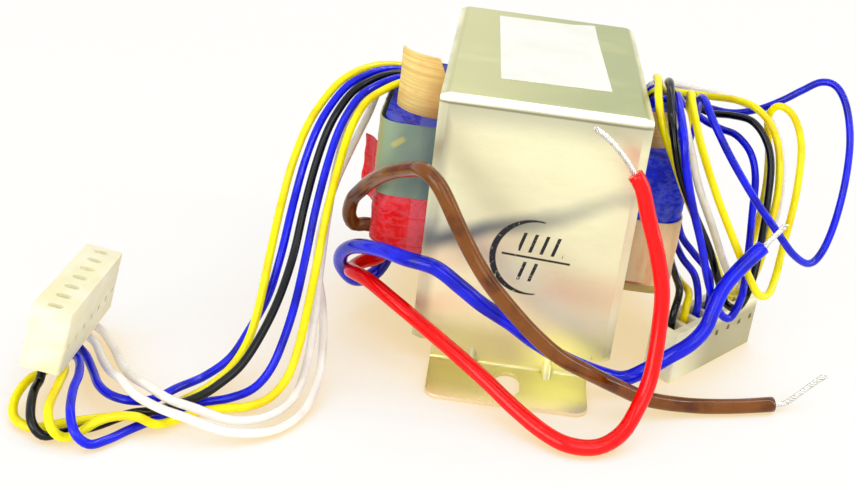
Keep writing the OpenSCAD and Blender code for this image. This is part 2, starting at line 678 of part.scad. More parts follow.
// A tube swept along a route: rings of points, carried along without twist
function unit(v) = v / norm(v);
function between(a, b, c, d, t) =
    (2 * b + (c - a) * t + (2 * a - 5 * b + 4 * c - d) * t * t + (3 * b - a - 3 * c + d) * t * t * t) / 2;
function spaced(p, d) = concat(
    [for (i = [0 : len(p) - 2])
        let (n = ceil(norm(p[i + 1] - p[i]) / (ring_step * d)),
             a = p[max(i - 1, 0)],
             e = p[min(i + 2, len(p) - 1)])
        for (k = [0 : n - 1]) between(a, p[i], p[i + 1], e, k / n)],
    [p[len(p) - 1]]);
function heading(p, i) = unit(p[min(i + 1, len(p) - 1)] - p[max(i - 1, 0)]);
function square_to(n, t) = unit(n - (n * t) * t);
function sides(p, i, n) =
    let (m = square_to(n, heading(p, i)))
    i == len(p) - 1 ? [m] : concat([m], sides(p, i + 1, m));

module lead(route, d) {
    p = spaced(route, d);
    first = heading(p, 0);
    n = sides(p, 0, abs(first.z) < 0.9 ? [0, 0, 1] : [1, 0, 0]);
    s = lead_sides;
    last = (len(p) - 1) * s;
    points = [
        for (i = [0 : len(p) - 1], k = [0 : s - 1])
            p[i] + d / 2 * (cos(360 * k / s) * n[i] + sin(360 * k / s) * cross(heading(p, i), n[i]))];
    walls = [
        for (i = [0 : len(p) - 2], k = [0 : s - 1])
            let (a = i * s + k, b = i * s + (k + 1) % s)
            each [[a, a + s, b], [b, a + s, b + s]]];
    start_cap = [[for (k = [0 : s - 1]) k]];
    end_cap = [[for (k = [s - 1 : -1 : 0]) last + k]];
    polyhedron(points, concat(start_cap, walls, end_cap));
}

module brown_lead() { color("saddlebrown") lead(brown_route, fat_d); }
module blue_lead() { color("blue") lead(blue_route, fat_d); }
module red_lead() { color("red") lead(red_route, fat_d); }
module brown_strands() { color("silver") lead(brown_end, strand_d); }
module blue_strands() { color("silver") lead(blue_end, strand_d); }
module red_strands() { color("silver") lead(red_end, strand_d); }
module left_yellow_lead_1() { color("gold") lead(left_yellow_1, thin_d); }
module left_yellow_lead_2() { color("gold") lead(left_yellow_2, thin_d); }
module left_black_lead() { color("black") lead(left_black, thin_d); }
module left_blue_lead_1() { color("blue") lead(left_blue_1, thin_d); }
module left_blue_lead_2() { color("blue") lead(left_blue_2, thin_d); }
module left_white_lead_1() { color("white") lead(left_white_1, thin_d); }
module left_white_lead_2() { color("white") lead(left_white_2, thin_d); }
module right_yellow_lead_1() { color("gold") lead(right_yellow_1, thin_d); }
module right_yellow_lead_2() { color("gold") lead(right_yellow_2, thin_d); }
module right_black_lead() { color("black") lead(right_black, thin_d); }
module right_blue_lead_1() { color("blue") lead(right_blue_1, thin_d); }
module right_blue_lead_2() { color("blue") lead(right_blue_2, thin_d); }
module right_white_lead_1() { color("white") lead(right_white_1, thin_d); }
module right_white_lead_2() { color("white") lead(right_white_2, thin_d); }

// Repeats its children at each way of a housing
module each_way() {
    for (j = [0 : ways - 1])
        translate([way_pitch * (j + 0.5), 0, 0])
            children();
}

// A housing lies along X from its first end, with its entry face at z = 0
module housing() {
    corner = 0.5;
    cavity_h = housing_h - mating_t;
    color("ivory")
        difference() {
            translate([housing_len / 2, 0, 0])
                linear_extrude(housing_h)
                    rounded(housing_len / 2, housing_t / 2, corner);
            each_way() {
                translate([-cavity_w / 2, -cavity_t / 2, -cut])
                    cube([cavity_w, cavity_t, cavity_h + cut]);
                translate([0, 0, cavity_h - cut])
                    linear_extrude(mating_t + 2 * cut)
                        rotate(90)
                            round_slot(mouth_len, mouth_w);
                translate([-latch_w / 2, -housing_t / 2 - cut, latch_set - latch_w / 2])
                    cube([latch_w, housing_t / 2, latch_w]);
            }
        }
}

// A crimped terminal: barrel on the wire, box for the pin, and a lance in the latch window
module terminal() {
    box_w = cavity_w - 2 * terminal_fit;
    box_t = cavity_t - 2 * terminal_fit;
    box_z = wire_stop + barrel_len - cut;
    lance_w = latch_w - terminal_fit;
    lance_reach = housing_t / 2 - terminal_fit;
    color("khaki") {
        translate([0, 0, wire_stop])
            cylinder(d = box_w, h = barrel_len);
        difference() {
            translate([-box_w / 2, -box_t / 2, box_z])
                cube([box_w, box_t, wire_stop + terminal_len - box_z]);
            translate([-pin_w / 2, -pin_w / 2, box_z + 2 * cut])
                cube([pin_w, pin_w, terminal_len]);
        }
        translate([-lance_w / 2, -lance_reach, latch_set - lance_w / 2])
            cube([lance_w, lance_reach - box_t / 2 + cut / 2, lance_w]);
    }
}

module at_left() {
    translate(left_at)
        rotate(left_turn)
            children();
}

module at_right() {
    translate([right_at.x, right_at.y, housing_h])
        rotate([180, 0, right_turn])
            translate([-housing_len / 2, 0, 0])
                mirror([0, 1, 0])
                    children();
}

module left_housing() { at_left() housing(); }
module right_housing() { at_right() housing(); }
module left_terminals() { at_left() each_way() terminal(); }
module right_terminals() { at_right() each_way() terminal(); }

clamp_frame();
e_laminations();
i_laminations();
bobbin();
primary_winding();
secondary_winding();
primary_tape();
secondary_tape();
film_wrap();
paper_wrap();
tape_tail();
left_cuff();
right_cuff();
top_label();
brown_lead();
blue_lead();
red_lead();
brown_strands();
blue_strands();
red_strands();
left_yellow_lead_1();
left_yellow_lead_2();
left_black_lead();
left_blue_lead_1();
left_blue_lead_2();
left_white_lead_1();
left_white_lead_2();
right_yellow_lead_1();
right_yellow_lead_2();
right_black_lead();
right_blue_lead_1();
right_blue_lead_2();
right_white_lead_1();
right_white_lead_2();
left_housing();
right_housing();
left_terminals();
right_terminals();
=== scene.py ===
"""A mains transformer on two bolted feet, with loose primary leads and two seven-way connectors."""

import json
import math

import bpy
from mathutils import Matrix, Vector, noise


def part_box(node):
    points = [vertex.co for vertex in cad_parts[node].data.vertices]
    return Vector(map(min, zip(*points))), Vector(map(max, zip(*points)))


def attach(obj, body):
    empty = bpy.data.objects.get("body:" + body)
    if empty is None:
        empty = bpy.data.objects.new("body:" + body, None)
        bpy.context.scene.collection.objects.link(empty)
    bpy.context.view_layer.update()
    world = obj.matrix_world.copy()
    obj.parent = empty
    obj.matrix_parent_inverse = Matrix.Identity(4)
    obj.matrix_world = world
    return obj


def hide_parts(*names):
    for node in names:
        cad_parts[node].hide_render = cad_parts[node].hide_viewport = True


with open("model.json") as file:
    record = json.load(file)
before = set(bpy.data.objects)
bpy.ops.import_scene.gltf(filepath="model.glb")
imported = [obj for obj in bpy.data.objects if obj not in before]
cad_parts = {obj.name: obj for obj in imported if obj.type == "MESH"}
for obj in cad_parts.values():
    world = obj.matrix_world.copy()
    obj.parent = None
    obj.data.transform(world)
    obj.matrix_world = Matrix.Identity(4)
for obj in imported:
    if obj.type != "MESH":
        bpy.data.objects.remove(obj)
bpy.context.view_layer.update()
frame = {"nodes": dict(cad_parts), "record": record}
nodes = frame["nodes"]
scene = bpy.context.scene
MM = 0.001


# Shader tools


class Wire:
    """A shader socket that takes part in sums, and makes the nodes that it feeds."""

    def __init__(self, tree, socket=None):
        self.tree = tree
        self.socket = socket

    def make(self, kind, inputs, out=0, **settings):
        """The chosen output of a new node, with its settings and then its sockets set."""
        made = self.tree.nodes.new("ShaderNode" + kind)
        for key, value in settings.items():
            setattr(made, key, value)
        for key, value in inputs.items():
            if isinstance(value, Wire):
                self.tree.links.new(value.socket, made.inputs[key])
            else:
                made.inputs[key].default_value = value
        return Wire(self.tree, made.outputs[out] if made.outputs else None)

    def math(self, operation, a, b=0.0):
        return self.make("Math", {0: a, 1: b}, operation=operation)

    def __add__(self, other):
        return self.math("ADD", self, other)

    def __radd__(self, other):
        return self.math("ADD", other, self)

    def __sub__(self, other):
        return self.math("SUBTRACT", self, other)

    def __rsub__(self, other):
        return self.math("SUBTRACT", other, self)

    def __mul__(self, other):
        return self.math("MULTIPLY", self, other)

    def __rmul__(self, other):
        return self.math("MULTIPLY", other, self)

    def __truediv__(self, other):
        return self.math("DIVIDE", self, other)

    def __rtruediv__(self, other):
        return self.math("DIVIDE", other, self)

    def __abs__(self):
        return self.math("ABSOLUTE", self)

    def high(self, other):
        """The larger of the two."""
        return self.math("MAXIMUM", self, other)

    def fract(self):
        return self.math("FRACT", self)

    def root(self):
        return self.math("SQRT", self)

    def ramp(self, start, end, low=0.0, high=1.0):
        """A smooth step from low at start to high at end."""
        span = {"Value": self, "From Min": start, "From Max": end, "To Min": low, "To Max": high}
        return self.make("MapRange", span, interpolation_type="SMOOTHSTEP")

    def tint(self, first, second):
        """The first colour where this is 0 and the second where it is 1."""
        pair = [c if isinstance(c, Wire) else (*c, 1.0) for c in (first, second)]
        return self.make("Mix", {0: self, 6: pair[0], 7: pair[1]}, out=2, data_type="RGBA")

    def axes(self):
        """The three axes of this vector."""
        return [self.make("SeparateXYZ", {0: self}, out=i) for i in range(3)]

    def stretch(self, x, y, z):
        """This vector with each axis scaled."""
        return self.make("VectorMath", {0: self, 1: (x, y, z)}, operation="MULTIPLY")

    def cloud(self, scale, detail=3.0, rough=0.5):
        """Noise about 0.5, with features about 1 / scale across."""
        return self.make("TexNoise", {"Vector": self, "Scale": scale, "Detail": detail, "Roughness": rough})

    def bump(self, height, distance):
        """A normal from a height given in shares of distance, in millimetres."""
        return self.make("Bump", {"Height": height, "Strength": 1.0, "Distance": distance * MM})


def shade(red, green, blue):
    """A colour read off a screen, as linear light."""
    return tuple((c / 255) ** 2.2 for c in (red, green, blue))


def material(name, paint):
    """A material whose shader inputs come from paint(point), where point is the place in millimetres."""
    made = bpy.data.materials.new(name)
    made.use_nodes = True
    tree = made.node_tree
    tree.nodes.clear()
    start = Wire(tree)
    place = start.make("TexCoord", {}, out="Object")
    point = place.stretch(1000, 1000, 1000)
    surface = start.make("BsdfPrincipled", paint(point))
    start.make("OutputMaterial", {"Surface": surface})
    return made


def corners(node):
    """The lowest and highest corners of a CAD node, in millimetres."""
    return [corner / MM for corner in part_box(node)]


# Materials

CLAMP_FRONT = -29.3
CLAMP_TOP = 53.3
STAMP_X = 1.5
STAMP_Z = 24.1
STAMP_R = 7.4
GLUE_X = -25.8
GLUE_Z = 38.8


def painted_front_reflections(metal, p, front):
    """Painted reflections on the front: a grey band that climbs to the right, pink under it, painted shade
    along the top and left edges, and by the foot painted shade on the left and a painted pool of light on
    the right.
    """
    x, _, z = p.axes()
    drift = p.cloud(0.05, 3) - 0.5
    rise = z - 31.4 - x * 0.38 + drift * 6.0
    grey = (1.6 - abs(rise)).ramp(-1.8, 1.6) * x.ramp(16.0, -12.0, 0.3, 1.0)
    pink = (2.8 - abs(rise + 4.2)).ramp(-2.6, 2.4) * x.ramp(4.0, -8.0)
    pink = pink.high((2.6 - abs(z - 19.2 + drift * 8.0)).ramp(-3.0, 2.6) * x.ramp(0.0, 8.0))
    edge = z.ramp(46.0, 52.0).high(x.ramp(-15.2, -17.4))
    olive = z.ramp(13.0, 6.0)
    bright = x.ramp(0.0, 8.0)
    shade_and_glow_by_foot = bright.tint(shade(186, 180, 120), shade(255, 255, 166))
    # Painted shade along the top and left edges of the front.
    metal = (front * edge * 0.8).tint(metal, shade(194, 192, 164))
    # A painted reflection: the grey band that climbs to the right.
    metal = (front * grey).tint(metal, shade(122, 128, 126))
    # Painted reflections in pink: under the grey band, and low on the right.
    metal = (front * pink * 0.5).tint(metal, shade(242, 200, 168))
    # By the foot: painted shade on the left and a painted pool of light on the right.
    return (front * olive * (0.6 + bright * 0.3)).tint(metal, shade_and_glow_by_foot)


def ink_stamp(p):
    """One where the front has ink: an open ring, a dividing line, and four plain strokes over two."""
    x, y, z = p.axes()
    u = x - STAMP_X
    v = z - STAMP_Z
    far = (u * u + v * v).root()
    thick = u.ramp(-8.0, 2.0, 0.6, 0.14)
    ring = (thick - abs(far - STAMP_R)).ramp(-0.1, 0.1) * u.ramp(0.9, 1.6, 1.0, 0.0)
    lean = v + u * 0.05
    line = (0.22 - abs(lean)).ramp(-0.08, 0.08) * (6.4 - abs(u - 0.5)).ramp(0.0, 0.2)
    upper = (1.9 - abs(lean - 2.9)).ramp(-0.1, 0.1) * (4.2 - abs(u - 1.2)).ramp(0.0, 0.2)
    lower = (1.9 - abs(lean + 2.9)).ramp(-0.1, 0.1) * (2.1 - abs(u + 0.9)).ramp(0.0, 0.2)
    tally = abs(((u - v * 0.25) / 2.1).fract() - 0.5).ramp(0.13, 0.17, 1.0, 0.0)
    patchy = p.cloud(1.3, 5, 0.7).ramp(0.26, 0.42)
    return ring.high(line).high(upper.high(lower) * tally) * patchy * y.ramp(CLAMP_FRONT + 0.1, CLAMP_FRONT)


def tin_plate(p):
    """Tin plate with smears, its light painted by face: a bright front with a white painted highlight along
    the bend above it, and an olive top and foot whose tones are painted reflections.
    """
    x, y, z = p.axes()
    cloudy = p.cloud(0.09, 4)
    grain = p.stretch(1.6, 1.6, 0.12).cloud(1.0, 4, 0.6)
    smear = p.stretch(0.1, 0.3, 0.3).cloud(0.6, 5, 0.6).ramp(0.46, 0.7)
    fleck = p.cloud(2.4, 2).ramp(0.66, 0.76)
    front = y.ramp(CLAMP_FRONT + 0.7, CLAMP_FRONT) * z.ramp(1.0, 2.4)
    above = z.ramp(CLAMP_TOP - 0.4, CLAMP_TOP - 0.1)
    below = z.ramp(2.4, 1.0)
    # Painted reflections: the top and the foot get olive tones of their own, darker towards the top's right
    # and lighter towards the foot's right.
    top_reflection_tone = x.ramp(-16.0, 14.0).tint(shade(200, 199, 148), shade(172, 178, 130))
    foot_reflection_tone = x.ramp(-12.0, 14.0).tint(shade(218, 211, 148), shade(236, 232, 172))
    metal = cloudy.ramp(0.3, 0.7).tint(shade(214, 209, 170), shade(242, 238, 200))
    # The front is painted brighter than the rest of the sheet, a painted reflection.
    metal = (front * 0.85).tint(metal, shade(255, 250, 208))
    metal = above.tint(metal, top_reflection_tone)
    metal = below.tint(metal, foot_reflection_tone)
    # The front part of the foot is painted pale, a painted reflection.
    metal = (below * y.ramp(-37.0, -43.0)).tint(metal, shade(250, 236, 206))
    metal = (smear * 0.2).tint(metal, shade(206, 204, 172))
    metal = (fleck * 0.2).tint(metal, shade(170, 168, 146))
    metal = painted_front_reflections(metal, p, front)
    # A painted highlight along the bend at the top of the front.
    fold_highlight = z.ramp(52.1, 52.5) * y.ramp(CLAMP_FRONT + 1.1, CLAMP_FRONT + 0.7)
    metal = fold_highlight.tint(metal, shade(255, 255, 246))
    # Painted shade: a thin dark line just under the bend at the top of the front.
    crease_and_painted_light = (0.22 - abs(z - 51.7)).ramp(-0.16, 0.16) * front
    metal = (crease_and_painted_light * 0.7).tint(metal, shade(120, 114, 90))
    ink = ink_stamp(p)
    return {
        "Base Color": ink.tint(metal, shade(22, 18, 30)),
        "Metallic": (1.0 - front * z.ramp(24.0, 12.0) * 0.5) * (1.0 - ink),
        "Roughness": 0.34 + cloudy * 0.08 + smear * 0.1 + grain * 0.05 + ink * 0.3,
        "Normal": p.bump(grain * 0.5 + p.cloud(0.35, 3) * 0.5, 0.02),
    }


def core_steel(p):
    """Varnished sheets on edge, with drips and some rust."""
    x, _, _ = p.axes()
    gap = abs((x * 2.0).fract() - 0.5).ramp(0.38, 0.48)
    cloudy = p.cloud(0.16, 5, 0.6)
    drip = p.stretch(0.5, 0.5, 0.12).cloud(1.0, 4).ramp(0.5, 0.72)
    rust = p.cloud(0.5, 6, 0.7).ramp(0.62, 0.8)
    colour = cloudy.ramp(0.3, 0.7).tint(shade(120, 118, 104), shade(158, 156, 138))
    colour = (drip * 0.6).tint(colour, shade(96, 86, 62))
    colour = (rust * 0.5).tint(colour, shade(110, 70, 44))
    colour = (gap * 0.8).tint(colour, shade(40, 36, 32))
    return {
        "Base Color": colour,
        "Metallic": 0.75 - drip * 0.5,
        "Roughness": 0.38 + cloudy * 0.2 - drip * 0.14,
        "Normal": p.bump(cloudy * 0.3 + drip * 0.4 - gap * 0.6, 0.12),
    }


def bobbin_plastic(p):
    """Amber moulded plastic with dark specks."""
    flow = p.stretch(0.3, 0.3, 1.0).cloud(0.5, 4)
    speck = p.cloud(3.0, 2).ramp(0.68, 0.76)
    colour = flow.ramp(0.3, 0.7).tint(shade(198, 172, 92), shade(214, 192, 112))
    colour = (speck * 0.4).tint(colour, shade(150, 136, 84))
    return {
        "Base Color": colour,
        "Roughness": 0.4 + flow * 0.15,
        "Normal": p.bump(p.cloud(4.0, 3), 0.02),
        "Subsurface Weight": 0.2,
        "Subsurface Radius": (0.002, 0.0016, 0.0008),
    }


def copper_turns(p):
    """Turns of enamelled wire side by side."""
    _, _, z = p.axes()
    off_middle = (z * 2.2).fract() * 2.0 - 1.0
    round_wire = 1.0 - off_middle * off_middle
    tone = p.stretch(0.05, 0.05, 2.2).cloud(1.0, 2)
    return {
        "Base Color": tone.ramp(0.3, 0.7).tint(shade(150, 70, 30), shade(196, 108, 56)),
        "Metallic": 0.85,
        "Roughness": 0.24 + tone * 0.12,
        "Normal": p.bump(round_wire, 0.2),
    }


def film_tape(dark, plain, pale, stripe):
    """A glossy film tape: creases with a painted highlight on them, milky patches where it lifts, and lap
    lines along the wrap.
    """

    def paint(p):
        x, _, z = p.axes()
        crease_and_painted_light = abs(p.stretch(0.5, 0.5, 0.9).cloud(0.55, 5, 0.6) - 0.5).ramp(0.0, 0.1, 1.0, 0.0)
        lifted = p.stretch(0.6, 0.6, 0.24).cloud(0.4, 3).ramp(0.5, 0.72)
        lifted = lifted.high((1.5 - abs(x + 20.8)).ramp(-0.2, 0.2))
        lap = abs((z / stripe).fract() - 0.5).ramp(0.44, 0.5)
        tone = p.cloud(0.22, 4)
        colour = tone.ramp(0.3, 0.6).tint(dark, plain)
        colour = (lifted * 0.55).tint(colour, pale)
        # A painted highlight on the creases.
        colour = (crease_and_painted_light * 0.3).tint(colour, pale)
        colour = (lap * 0.4).tint(colour, dark)
        return {
            "Base Color": colour,
            "Roughness": 0.22 + lifted * 0.14 + tone * 0.08,
            "Normal": p.bump(crease_and_painted_light * 0.5 + tone * 0.4 + lap * 0.3, 0.22),
            "Specular IOR Level": 0.08,
            "Coat Weight": 0.06 - lifted * 0.05,
            "Coat Roughness": 0.12,
        }

    return paint


def milky_film(p):
    """Cloudy film, darker by the stack, with a dab of glue on its front."""
    x, y, z = p.axes()
    cloudy = p.stretch(0.4, 0.4, 0.2).cloud(0.5, 4)
    u = (x - GLUE_X) * 0.7
    v = (z - GLUE_Z) * 0.7
    along = (1.7 - abs(u + v)).ramp(-0.2, 0.8)
    across = (0.5 - abs(v - u + cloudy - 0.5)).ramp(-0.2, 0.2)
    glue = along * across * y.ramp(-15.0, -18.0)
    colour = x.ramp(-29.0, -20.0).tint(shade(148, 172, 142), shade(112, 134, 136))
    colour = cloudy.ramp(0.4, 0.7).tint(colour, shade(138, 160, 142))
    colour = x.ramp(-28.4, -29.6).tint(colour, shade(164, 164, 96))
    colour = (glue * 0.8).tint(colour, shade(206, 196, 120))
    return {
        "Base Color": colour,
        "Roughness": 0.26 + cloudy * 0.16,
        "Normal": p.bump(cloudy, 0.3),
        "Alpha": 0.94 - cloudy * 0.1,
        "Coat Weight": 0.1 + cloudy * 0.1,
        "Coat Roughness": 0.2,
    }


def cream_paper(p):
    """Insulating paper with upright fibres; a rim of the red tape shows at its lower edge."""
    x, _, z = p.axes()
    streak = p.stretch(0.5, 0.5, 0.06).cloud(1.0, 5, 0.62)
    fleck = p.stretch(1.0, 1.0, 2.6).cloud(1.4, 3).ramp(0.62, 0.74)
    wave = p.cloud(0.12, 3)
    low, high = (corner.z for corner in corners("paper_wrap"))
    colour = streak.ramp(0.34, 0.66).tint(shade(255, 224, 174), shade(255, 206, 150))
    colour = (streak.ramp(0.52, 0.74) * 0.7).tint(colour, shade(236, 164, 118))
    colour = (fleck * 0.3).tint(colour, shade(232, 162, 116))
    colour = (z.ramp(high - 5.0, high) * 0.5).tint(colour, shade(214, 196, 156))
    rim = (z + wave - 0.5).ramp(low + 0.6, low + 0.4) * x.ramp(25.0, 22.0)
    colour = (rim * 0.8).tint(colour, shade(190, 30, 20))
    return {
        "Base Color": colour,
        "Roughness": 0.62 + streak * 0.2,
        "Normal": p.bump(streak * 0.5 + wave, 0.1),
    }


def kraft_paper(p):
    """Stiff brown paper with fine lines across it, browner beside the stack and at its foot."""
    x, _, z = p.axes()
    fine = p.stretch(0.06, 0.06, 2.4).cloud(1.0, 4, 0.6)
    blotch = p.cloud(0.3, 4)
    beside = abs(x).ramp(25.5, 18.5)
    foot = z.ramp(47.0, 43.0)
    colour = fine.ramp(0.36, 0.64).tint(shade(246, 220, 140), shade(226, 190, 108))
    colour = (blotch.ramp(0.46, 0.7) * 0.4).tint(colour, shade(234, 164, 96))
    colour = (beside * 0.5).tint(colour, shade(206, 142, 66))
    colour = (foot * beside * 0.6).tint(colour, shade(170, 108, 40))
    return {
        "Base Color": colour,
        "Roughness": 0.6 + fine * 0.2,
        "Normal": p.bump(fine * 0.4 + blotch * 0.6, 0.1),
    }


def label_paper(p):
    """Smooth white paper, slightly wavy."""
    fibre = p.cloud(1.2, 5, 0.7)
    wave = p.cloud(0.1, 2)
    colour = wave.ramp(0.3, 0.7).tint(shade(240, 241, 236), shade(248, 248, 245))
    colour = (fibre.ramp(0.6, 0.8) * 0.3).tint(colour, shade(214, 214, 206))
    return {
        "Base Color": colour,
        "Roughness": 0.42 + fibre * 0.2,
        "Normal": p.bump(fibre * 0.4 + wave * 0.6, 0.05),
    }


def vinyl(dark, plain, gloss):
    """Extruded insulation: faint mottling, rubbed patches and fine lines."""

    def paint(p):
        tone = p.cloud(0.2, 4)
        rub = p.cloud(0.7, 4, 0.6).ramp(0.56, 0.74)
        fine = p.cloud(5.0, 3)
        colour = tone.ramp(0.28, 0.6).tint(dark, plain)
        return {
            "Base Color": colour,
            "Roughness": gloss + rub * 0.12 + tone * 0.06,
            "Normal": p.bump(fine * 0.3 + tone * 0.4, 0.012),
            "Specular IOR Level": 0.2,
            "Coat Weight": 0.2 - rub * 0.12,
            "Coat Roughness": 0.04,
        }

    return paint


def tinned_copper(p):
    """Tinned wire with copper showing through in places."""
    tone = p.cloud(1.2, 3)
    bare = p.cloud(0.8, 4).ramp(0.62, 0.76)
    colour = tone.ramp(0.3, 0.7).tint(shade(206, 204, 196), shade(238, 236, 230))
    return {
        "Base Color": (bare * 0.6).tint(colour, shade(196, 130, 84)),
        "Metallic": 0.95 - bare * 0.1,
        "Roughness": 0.2 + tone * 0.16,
        "Normal": p.bump(p.cloud(4.0, 2), 0.01),
    }


def nylon(p):
    """Ivory nylon with specks, greyer low on the right housing's sides through painted shade."""
    x, _, z = p.axes()
    flow = p.stretch(0.3, 0.3, 0.6).cloud(0.5, 4)
    speck = p.cloud(2.6, 2).ramp(0.7, 0.78)
    # Painted shade, low on the right housing's sides.
    painted_side_shade = x.ramp(32.0, 40.0) * z.ramp(10.8, 8.0)
    colour = flow.ramp(0.3, 0.7).tint(shade(247, 241, 196), shade(254, 251, 224))
    colour = (speck * 0.3).tint(colour, shade(196, 186, 150))
    colour = (painted_side_shade * 0.8).tint(colour, shade(156, 148, 108))
    return {
        "Base Color": colour,
        "Roughness": 0.36 + flow * 0.14,
        "Normal": p.bump(p.cloud(5.0, 3) * 0.4 + flow * 0.6, 0.03),
        "Subsurface Weight": 0.25,
        "Subsurface Radius": (0.003, 0.0026, 0.0018),
    }


def tinned_brass(p):
    """Stamped terminals with fine lines along them."""
    tone = p.cloud(0.8, 4)
    line = p.stretch(6.0, 6.0, 0.5).cloud(1.0, 3)
    return {
        "Base Color": tone.ramp(0.34, 0.7).tint(shade(196, 172, 110), shade(222, 212, 178)),
        "Metallic": 0.95 - tone * 0.05,
        "Roughness": 0.22 + line * 0.16,
        "Normal": p.bump(line, 0.015),
    }


MATERIALS = {
    "tinned_steel": tin_plate,
    "core_steel": core_steel,
    "bobbin_plastic": bobbin_plastic,
    "enamelled_copper": copper_turns,
    "red_tape": film_tape(shade(244, 22, 26), shade(255, 34, 34), shade(250, 120, 138), 5.9),
    "blue_tape": film_tape(shade(20, 30, 190), shade(30, 48, 244), shade(112, 128, 224), 6.7),
    "clear_film": milky_film,
    "cream_paper": cream_paper,
    "kraft_paper": kraft_paper,
    "white_label": label_paper,
    "brown_insulation": vinyl(shade(86, 44, 8), shade(122, 72, 24), 0.1),
    "blue_insulation": vinyl(shade(8, 14, 170), shade(20, 30, 236), 0.1),
    "red_insulation": vinyl(shade(226, 2, 6), shade(250, 8, 10), 0.1),
    "yellow_insulation": vinyl(shade(252, 216, 0), shade(255, 244, 6), 0.14),
    "black_insulation": vinyl(shade(6, 8, 10), shade(18, 22, 24), 0.12),
    "white_insulation": vinyl(shade(238, 232, 228), shade(250, 246, 242), 0.2),
    "tinned_copper": tinned_copper,
    "housing_nylon": nylon,
    "terminal_brass": tinned_brass,
}
materials = {slot: material(slot, paint) for slot, paint in MATERIALS.items()}
node_slot = {s["node"]: s["material_slot"] for s in frame["record"]["subparts"]}


def dress(piece, slot):
    """One material over the whole piece."""
    piece.data.materials.clear()
    piece.data.materials.append(materials[slot])


for name, piece in nodes.items():
    dress(piece, node_slot[name])


# Camera


def frame_camera():
    """The photograph's view: an eye in front, a little above and to the left of the middle."""
    right = Vector((0.9907, 0.0359, 0.1311))
    up = Vector((-0.1351, 0.368, 0.9199))
    back = Vector((-0.0152, -0.9291, 0.3695))
    eye = Vector((-0.01031, -0.2216, 0.12173))
    data = bpy.data.cameras.new("camera")
    data.sensor_width = 36
    data.lens = 49.79
    data.shift_x = -0.0854
    data.shift_y = -0.1167
    data.clip_start = 0.01
    data.clip_end = 20
    camera = bpy.data.objects.new("camera", data)
    turn = Matrix((right, up, back)).transposed().to_4x4()
    camera.matrix_world = Matrix.Translation(eye) @ turn
    scene.collection.objects.link(camera)
    scene.camera = camera


frame_camera()


# Pieces


def new_piece(name, points, faces, slot):
    """A mesh piece, given in millimetres, that rides on the body."""
    mesh = bpy.data.meshes.new(name)
    mesh.from_pydata([Vector(p) * MM for p in points], [], faces)
    mesh.validate()
    mesh.shade_smooth()
    piece = bpy.data.objects.new(name, mesh)
    scene.collection.objects.link(piece)
    dress(piece, slot)
    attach(piece, "root")
    return piece


def between(a, b, c, d, t):
    """The point at share t from b to c on a smooth curve that comes from a and goes on to d."""
    return (2 * b + (c - a) * t + (2 * a - 5 * b + 4 * c - d) * t**2 + (3 * b - a - 3 * c + d) * t**3) / 2


def spaced(route, step):
    """Points on a smooth curve through the route, at most step apart."""
    p = [Vector(q) for q in route]
    made = []
    for i in range(len(p) - 1):
        before = p[max(i - 1, 0)]
        after = p[min(i + 2, len(p) - 1)]
        n = math.ceil((p[i + 1] - p[i]).length / step)
        made += [between(before, p[i], p[i + 1], after, k / n) for k in range(n)]
    return made + [p[-1]]


def frames(line):
    """The heading at each point of a line, with two directions square to it that don't twist."""
    last = len(line) - 1
    made = []
    side = Vector((0, 0, 1))
    if abs((line[1] - line[0]).normalized().z) > 0.9:
        side = Vector((1, 0, 0))
    for i in range(last + 1):
        ahead = (line[min(i + 1, last)] - line[max(i - 1, 0)]).normalized()
        side = (side - ahead * side.dot(ahead)).normalized()
        made.append((ahead, side, ahead.cross(side)))
    return made


def tube(line, radii, sides):
    """Points and faces of a closed tube along a line, with a radius at each point."""
    points = []
    for centre, (_, side, over), r in zip(line, frames(line), radii):
        for k in range(sides):
            turn = 2 * math.pi * k / sides
            points.append(centre + r * (math.cos(turn) * side + math.sin(turn) * over))
    faces = []
    for i in range(len(line) - 1):
        for k in range(sides):
            a = i * sides + k
            b = i * sides + (k + 1) % sides
            faces.append((a, b, b + sides, a + sides))
    last = (len(line) - 1) * sides
    faces.append(tuple(range(sides - 1, -1, -1)))
    faces.append(tuple(range(last, last + sides)))
    return points, faces


# Outer diameters and facets of the leads, and the sizes and places of the connectors
FAT = 2.8
THIN = 1.5
STRAND = 1.0
FAT_SIDES = 20
THIN_SIDES = 16
WAY_PITCH = 3.96
WAYS = 7
WIRE_STOP = 1.5
WIRE_STRAIGHT = 2.5
HOUSING_H = 11
LEFT_AT = Vector((-76.5, -60, 7.5))
LEFT_TURN = [math.radians(a) for a in (9, 6, 92)]
RIGHT_AT = Vector((38, -14.4, 0))
RIGHT_TURN = math.radians(47.5)
turn_x, turn_y, turn_z = (Matrix.Rotation(a, 3, axis) for a, axis in zip(LEFT_TURN, "XYZ"))
left_matrix = turn_z @ turn_y @ turn_x
right_matrix = Matrix.Rotation(RIGHT_TURN, 3, "Z")


def left_way(j, h):
    """The middle of one way of the left connector, at h from the side where its lead goes in."""
    return LEFT_AT + left_matrix @ Vector((WAY_PITCH * (j + 0.5), 0, h))


def right_way(j, h):
    """The same for the right connector, which takes its leads from above."""
    along = Vector((WAY_PITCH * (j - (WAYS - 1) / 2), 0, 0))
    return RIGHT_AT + Vector((0, 0, HOUSING_H - h)) + right_matrix @ along


